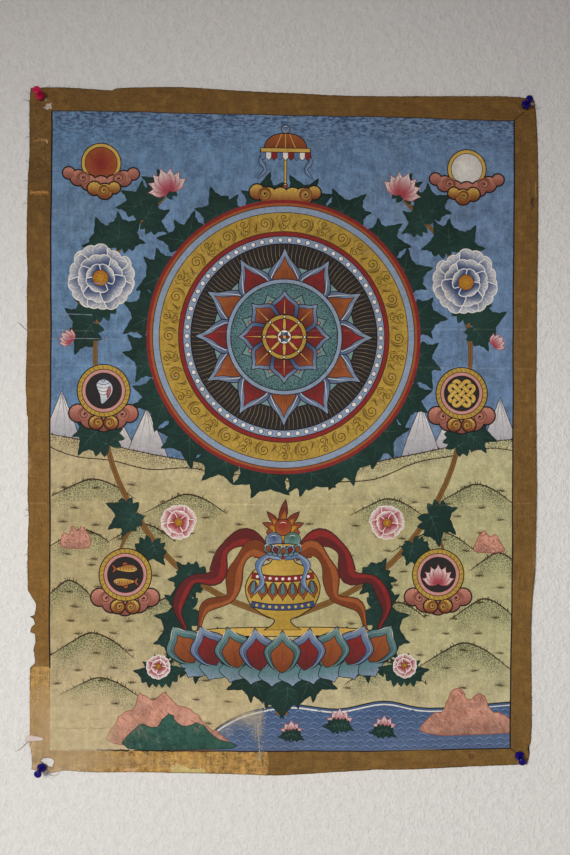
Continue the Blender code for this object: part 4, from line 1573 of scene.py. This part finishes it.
def paintedFinish():
    finish = Finish("paintedCotton", Roughness=0.82, Specular_IOR_Level=0.16)
    pigment = finish.attribute("pigment", "Color")
    strokes = finish.attribute("strokes", "Color")
    split = finish.add("ShaderNodeSeparateColor", None, {0: strokes})
    dots, dashes, border = split, split.part("Green"), split.part("Blue")
    scumble = strokes.part("Alpha")
    wear = finish.attribute("wear")
    edge = finish.attribute("edge")
    crease = finish.attribute("crease")

    broad = finish.noise(0.09, 3, offset=3.0)
    clouds = finish.noise(0.022, 4, 0.6, offset=9.0)
    mottle = finish.noise(0.0065, 4, 0.6, offset=11.0)
    grain = finish.noise(0.0019, 2, 0.7)
    weft = finish.stretched((0.012, 0.012, 0.0011), 3)
    warp = finish.stretched((0.0011, 0.012, 0.012), 3, offset=5.0)
    weave = weft.orMore(warp)
    upDown = finish.stretched((0.004, 0.02, 0.05), 3, offset=15.0)
    across = finish.stretched((0.06, 0.02, 0.0035), 3, offset=17.0)
    patchy = finish.between(finish.noise(0.014, 6, 0.68, offset=43.0), 0.38, 0.62)
    drips = finish.between(finish.stretched((0.003, 0.02, 0.022), 4, offset=47.0), 0.4, 0.66)
    fine = finish.noise(0.0012, 1, 0.6, offset=61.0)
    tone = 1.045 + broad.swing(0.2) + clouds.swing(0.34) + mottle.swing(0.45) + grain.swing(0.5)
    tone = tone + upDown.swing(0.2) + across.swing(0.2) + 0.3 * (weave - 0.56)
    tone = tone + fine.swing(0.3) + border * (fine.swing(0.7) + mottle.swing(0.3))
    tone = tone + scumble * border * (fine.swing(0.8) + mottle.swing(1.2) + upDown.swing(1.2))
    tone = tone + scumble * (patchy.swing(0.32) + drips.swing(0.12) + grain.swing(0.3) + mottle.swing(0.3))
    colour = finish.times(pigment, finish.grey(tone))
    aged = finish.between(finish.noise(0.06, 4, 0.6, offset=41.0), 0.45, 0.75)
    colour = finish.mix(0.6 * aged, colour, finish.times(colour, (1.0, 0.93, 0.82)))
    whitish = finish.between(finish.noise(0.009, 6, 0.72, offset=51.0) + 0.08 * drips, 0.56, 0.76)
    colour = finish.mix(0.2 * whitish * scumble, colour, (0.40, 0.42, 0.43))

    # brushwork: short dark dashes in the sky, dots on the hills and the teal disc
    dashNoise = finish.stretched((0.0052, 0.01, 0.0023), 1, offset=2.0)
    dash = finish.between(dashNoise + 0.12 * dashes, 0.58, 0.64) * dashes
    colour = finish.mix(0.74 * dash, colour, linear((40, 58, 92)))
    flickNoise = finish.stretched((0.0066, 0.01, 0.0021), 2, offset=33.0)
    flick = finish.between(flickNoise + 0.14 * dashes, 0.62, 0.68) * dashes
    colour = finish.mix(0.42 * flick, colour, linear((138, 156, 182)))
    dot = finish.between(0.06 + 0.33 * dots - finish.cells((0.0022, 1.0, 0.002)), -0.06, 0.06)
    dot = dot * finish.between(dots, 0.0, 0.25)
    colour = finish.mix(0.84 * dot, colour, finish.times(colour, (0.17, 0.22, 0.23)))

    # old brush marks on the border
    level = finish.add("ShaderNodeSeparateXYZ", None, {0: finish.place}, "Z")
    upright = finish.between(level, -0.707, -0.703) * finish.between(level, -0.022, -0.026)
    combed = upright * finish.stretched((0.0016, 0.01, 0.03), 3, offset=19.0)
    combed = combed + (1 - upright) * finish.stretched((0.04, 0.01, 0.0018), 3, offset=29.0)
    combed = finish.between(combed, 0.45, 0.7) * border * (1 - 0.7 * scumble)
    colour = finish.mix(0.24 * combed, colour, linear((78, 56, 28)))
    golden = finish.between(finish.noise(0.012, 5, 0.7, offset=37.0), 0.46, 0.7)
    colour = finish.mix((0.2 + 0.22 * scumble) * golden * border, colour, linear((190, 144, 70)))

    # wear: faded in clouds, then gone in flakes to the bare cloth
    bare = finish.mix(finish.between(mottle, 0.3, 0.7), linear((192, 174, 134)), linear((210, 193, 153)))
    tan = finish.mix(clouds, linear((164, 134, 92)), linear((198, 170, 128)))
    bare = finish.mix(border, bare, tan)
    flakes = finish.noise(0.0042, 5, 0.68, offset=21.0)
    fadeNoise = finish.noise(0.03, 5, 0.65, offset=13.0) + 0.9 * flakes
    faded = finish.between(wear + 0.75 * (fadeNoise - 0.95), 0.16, 0.86)
    colour = finish.mix(0.76 * faded, colour, bare)
    chips = finish.noise(0.009, 7, 0.74, offset=27.0)
    lost = finish.between(0.22 * wear + chips, 0.72, 0.76)
    scuffs = finish.between(flakes + 0.12 * edge, 0.785, 0.81)
    colour = finish.mix((0.8 * lost).orMore(0.6 * scuffs), colour, bare)
    scored = finish.between(finish.stretched((0.011, 0.011, 0.0008), 3, offset=23.0), 0.66, 0.72)
    colour = finish.mix(0.45 * scored * finish.between(wear, 0.2, 0.6), colour, linear((112, 92, 62)))
    # lighter along the creases: a painted highlight on the crease ridges, the paint multiplied up there,
    # with a little pale rubbing mixed in
    rubAndCreaseHighlight = finish.between(crease + flakes.swing(0.5), 0.4, 1.0)
    colour = finish.mix(0.6 * rubAndCreaseHighlight, colour, finish.times(colour, (1.35, 1.33, 1.28)))
    colour = finish.mix(0.045 * rubAndCreaseHighlight, colour, linear((196, 186, 166)))

    # the cut edge: darker in a narrow band along the cut, but pale where the paint is gone
    edgeBandNoise = finish.noise(0.0035, 4, 0.6, offset=31.0)
    edgeBand = finish.between(edge + edgeBandNoise.swing(0.7), 0.62, 0.98)
    edgeTone = finish.mix(finish.between(wear, 0.25, 0.55), linear((52, 40, 28)), linear((150, 124, 88)))
    colour = finish.mix(0.8 * edgeBand, colour, edgeTone)

    finish.set(Base_Color=colour, Roughness=0.74 + 0.16 * grain)
    finish.bump(0.55 * weave + 0.3 * grain + 0.35 * clouds - 0.5 * lost, 0.0005, 0.55)
    return finish.material


def backFinish():
    finish = Finish("cottonBack", Specular_IOR_Level=0.25)
    weft = finish.stretched((0.012, 0.012, 0.0009), 3)
    warp = finish.stretched((0.0009, 0.012, 0.012), 3, offset=5.0)
    stains = finish.noise(0.12, 5, 0.6, offset=4.0)
    spots = finish.noise(0.014, 4, 0.6, offset=6.0)
    colour = finish.mix(finish.between(stains, 0.35, 0.7), linear((186, 172, 142)), linear((156, 136, 102)))
    colour = finish.mix(0.5 * finish.between(spots, 0.6, 0.75), colour, linear((122, 100, 70)))
    colour = finish.mix(0.25 * finish.between(weft.orMore(warp), 0.5, 0.8), colour, linear((206, 196, 172)))
    finish.set(Base_Color=colour, Roughness=0.85 + 0.1 * spots)
    finish.bump(weft.orMore(warp), 0.0005, 0.7)
    return finish.material


def cutFinish():  # the cut edge and the loose threads
    finish = Finish("rawCotton", Roughness=0.9, Specular_IOR_Level=0.2)
    patches = finish.noise(0.02, 4, 0.6, offset=8.0)
    strands = finish.stretched((0.0006, 0.0006, 0.006), 3)
    colour = finish.mix(patches, linear((66, 50, 34)), linear((110, 88, 60)))
    colour = finish.mix(0.3 * strands, colour, linear((150, 130, 100)))
    finish.set(Base_Color=colour)
    finish.bump(strands, 0.0003, 0.5)
    return finish.material


def tabFinish():  # the unpainted side of the cloth, where the torn strip folds over
    finish = Finish("tabCotton", Roughness=0.88, Specular_IOR_Level=0.2)
    soft = finish.noise(0.006, 3)
    strands = finish.stretched((0.006, 0.006, 0.0007), 3)
    finish.set(Base_Color=finish.mix(soft, linear((204, 184, 174)), linear((232, 218, 212))))
    finish.bump(strands, 0.0004, 0.6)
    return finish.material


def plasticFinish(name, colour):
    finish = Finish(name, IOR=1.49, Specular_IOR_Level=0.22)
    swirl = finish.noise(0.004, 3)
    scratch = finish.stretched((0.0008, 0.006, 0.0008), 3)
    body = finish.mix(swirl, linear(colour) * 0.8, linear(colour) * 1.25)
    finish.set(Base_Color=body, Roughness=0.12 + 0.14 * scratch)
    finish.bump(scratch, 0.00005, 0.3)
    return finish.material


def steelFinish():
    finish = Finish("needleSteel", Metallic=1.0)
    drawn = finish.stretched((0.0004, 0.006, 0.0004), 3)
    finish.set(Base_Color=finish.mix(drawn, (0.45, 0.45, 0.46), (0.62, 0.62, 0.63)), Roughness=0.25 + 0.2
               * drawn)
    finish.bump(drawn, 0.00003, 0.3)
    return finish.material


def wallFinish():  # seen from the front alone, so that the part shows from behind
    finish = Finish("wallPaint", Roughness=0.9, Specular_IOR_Level=0.2)
    plaster = finish.noise(0.009, 4, 0.65) + 0.6 * finish.noise(0.0028, 3, 0.6, offset=3.0)
    paint = np.array(studio["wall"])
    finish.set(Base_Color=finish.mix(finish.between(plaster, 0.6, 1.0), paint * 0.955, paint * 1.035))
    finish.bump(plaster, 0.0034, 0.8)
    behind = finish.add("ShaderNodeNewGeometry", None, None, "Backfacing")
    clear = finish.add("ShaderNodeBsdfTransparent")
    mixed = finish.add("ShaderNodeMixShader", None,
                       {0: behind, 1: Signal(finish, finish.shader.outputs[0]), 2: clear})
    finish.tree.links.new(mixed.socket, finish.tree.nodes["Material Output"].inputs["Surface"])
    return finish.material


# ---- floor and wall


def meshObject(mesh, name, material):
    data = bpy.data.meshes.new(name)
    mesh.to_mesh(data)
    mesh.free()
    data.shade_smooth()
    data.materials.append(material)
    return linked(bpy.data.objects.new(name, data))


def addStage():
    profile = [(-3.2, -1.35), (-0.5, -1.35)]
    for angle in np.radians(range(10, 91, 10)):
        profile.append((-0.5 + 0.5 * math.sin(angle), -0.85 - 0.5 * math.cos(angle)))
    profile += [(0.0004, -0.6), (0.0004, 0.0), (0.0004, 2.2)]
    profile = [(min(y, 0.0004), z) for y, z in profile]
    mesh = bmesh.new()
    rows = [[mesh.verts.new((x, y, z)) for y, z in profile] for x in (-3.0, -1.0, 1.0, 3.0)]
    for left, right in zip(rows, rows[1:]):
        for n in range(len(profile) - 1):
            mesh.faces.new((left[n], right[n], right[n + 1], left[n + 1]))
    backdrop = meshObject(mesh, "backdrop", wallFinish())
    backdrop.visible_shadow = False


# ---- loose threads and the folded tab

# each thread starts on the cloth and runs out over the wall, in mm: width, path
threads = (
    (0.55, (-268+355j, -272+358.5j, -276.5+362j)),
    (0.5, (-268+348j, -273+350.5j, -279+352.5j)),
    (0.5, (-270+312.5j, -273.5+312.6j, -276.5+310.8j)),
    (0.5, (-270+284j, -273.6+286.5j, -275.4+288j)),
    (0.45, (-271+264.6j, -274.5+266.2j, -277+265.4j)),
    (0.5, (-271+241j, -275.5+242.6j, -278.6+241j)),
    (0.6, (-271+106j, -277+110.5j, -281+114.5j, -284.5+116j)),
    (0.6, (-267-86j, -270.5-84j, -274.5-82.4j)),
    (0.5, (-267-89j, -271-88.6j, -274.5-90j)),
    (0.5, (-268-129j, -272.4-129.6j, -275-132j)),
    (0.5, (-270-330j, -275.6-335j, -279.5-338.5j, -284-341j)),
    (0.35, (-56-360j, -49-363.6j, -43-365j, -38-368j)),
    (0.4, (-24-361j, -23.2-366j, -24-373j)),
    (0.45, (-249-360j, -246.5-365.2j, -241-366.4j, -236-362.5j)),
    (0.5, (-251+363j, -250.6+366j, -251.4+368.4j)),
    (0.4, (-231+363j, -230.2+366j, -230.8+367.6j)),
    (0.45, (267+350j, 271.6+352.4j, 276.4+354.4j)),
    (0.45, (267+343j, 271+340j, 273.6+336.8j)),
    (0.4, (262+362j, 265.4+366.2j, 269+366.8j)),
)
fuzz = {"count": 150, "least": 0.9, "most": 2.6, "width": 0.28}


def tubeMesh(mesh, path, width, relief):
    path = smooth(path, 3, closed=False)
    share = np.linspace(0, 1, len(path))
    height = relief.at(path) * (1 - share) + 0.55 + 0.7 * np.sin(share * math.pi) ** 2
    places = [toFrame(point, -lift / 1000) for point, lift in zip(path, height)]
    rings = []
    for number, place in enumerate(places):
        ahead = (places[min(number + 1, len(places) - 1)] - places[max(number - 1, 0)]).normalized()
        side = ahead.cross(Vector((0, 1, 0))).normalized() * width / 2000
        out = ahead.cross(side)
        thin = 1 - 0.5 * share[number]
        rings.append([mesh.verts.new(place + (side * math.cos(a) + out * math.sin(a)) * thin)
                      for a in (0, fullTurn / 4, fullTurn / 2, fullTurn * 3 / 4)])
    for first, second in zip(rings, rings[1:]):
        for corner in range(4):
            after = (corner + 1) % 4
            mesh.faces.new((first[corner], first[after], second[after], second[corner]))
    mesh.faces.new(rings[0][::-1])
    mesh.faces.new(rings[-1])


def addThreads(outline, relief):
    mesh = bmesh.new()
    for width, path in threads:
        tubeMesh(mesh, path, width, relief)
    dice = random.Random(12)
    for number in range(fuzz["count"]):
        index = dice.randrange(len(outline))
        root = outline[index]
        outwards = -1j * (outline[(index + 2) % len(outline)] - outline[index - 2])
        outwards = outwards / abs(outwards) * np.exp(1j * dice.uniform(-0.9, 0.9))
        reach = dice.uniform(fuzz["least"], fuzz["most"])
        bend = outwards * 1j * dice.uniform(-0.5, 0.5)
        path = (root - outwards * 1.2, root + outwards * reach * 0.5 + bend * 0.3, root + outwards * reach
                + bend * reach)
        tubeMesh(mesh, path, fuzz["width"], relief)
    bmesh.ops.recalc_face_normals(mesh, faces=mesh.faces)
    return meshObject(mesh, "looseThreads", cutFinish())


tab = {"left": -273.0 - 326.8j, "right": -253.6 - 326.3j, "wide": 3.4, "narrow": 1.2, "lift": 1.5,
       "thickness": 0.8}


def addTab(relief):  # a torn strip of the hem that folds back over the front
    mesh = bmesh.new()
    along, over = 10, 5
    sides = []
    for side in (0, 1):
        rows = []
        for step in np.linspace(0, 1, along + 1):
            middle = tab["left"] + (tab["right"] - tab["left"]) * step + 0.6j * math.sin(step * 5)
            half = tab["narrow"] + (tab["wide"] - tab["narrow"]) * (1 - step**1.6) * min(1, 0.55 + step * 4)
            row = []
            for share in np.linspace(-1, 1, over):
                point = middle + half * share * 1j
                curl = tab["lift"] * (1 - step) ** 1.5 * (0.55 - 0.45 * share)
                lift = relief.at(np.array([point]))[0] + 1.05 + curl
                row.append(mesh.verts.new(toFrame(point, -(lift + side * tab["thickness"]) / 1000)))
            rows.append(row)
        sides.append(rows)
    back, front = sides
    for rows, flip in ((front, False), (back, True)):
        for a in range(along):
            for b in range(over - 1):
                corners = (rows[a][b], rows[a + 1][b], rows[a + 1][b + 1], rows[a][b + 1])
                mesh.faces.new(corners[::-1] if flip else corners)
    rim = [(a, 0) for a in range(along)] + [(along, b) for b in range(over - 1)]
    rim += [(a, over - 1) for a in range(along, 0, -1)] + [(0, b) for b in range(over - 1, 0, -1)]
    for (a, b), (c, d) in zip(rim, rim[1:] + rim[:1]):
        mesh.faces.new((back[a][b], back[c][d], front[c][d], front[a][b]))
    bmesh.ops.recalc_face_normals(mesh, faces=mesh.faces)
    return meshObject(mesh, "foldedTab", tabFinish())


addCamera()
addLights()
addStage()
canvas, relief, cutEdge = addCanvas()
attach(canvas, "root")
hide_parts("canvas")
print("canvas made")
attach(addThreads(cutEdge, relief), "root")
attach(addTab(relief), "root")
print("threads and tab made")

finishes = {
    "pink": plasticFinish("pinkPlastic", (200, 20, 78)),
    "blue": plasticFinish("bluePlastic", (14, 2, 104)),
    "steel": steelFinish(),
}
for name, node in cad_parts.items():
    if name.startswith("pin_"):
        kind = "steel" if "needle" in name else "pink" if name.endswith("upper_left") else "blue"
        node.data.materials.clear()
        node.data.materials.append(finishes[kind])
print("pins finished")
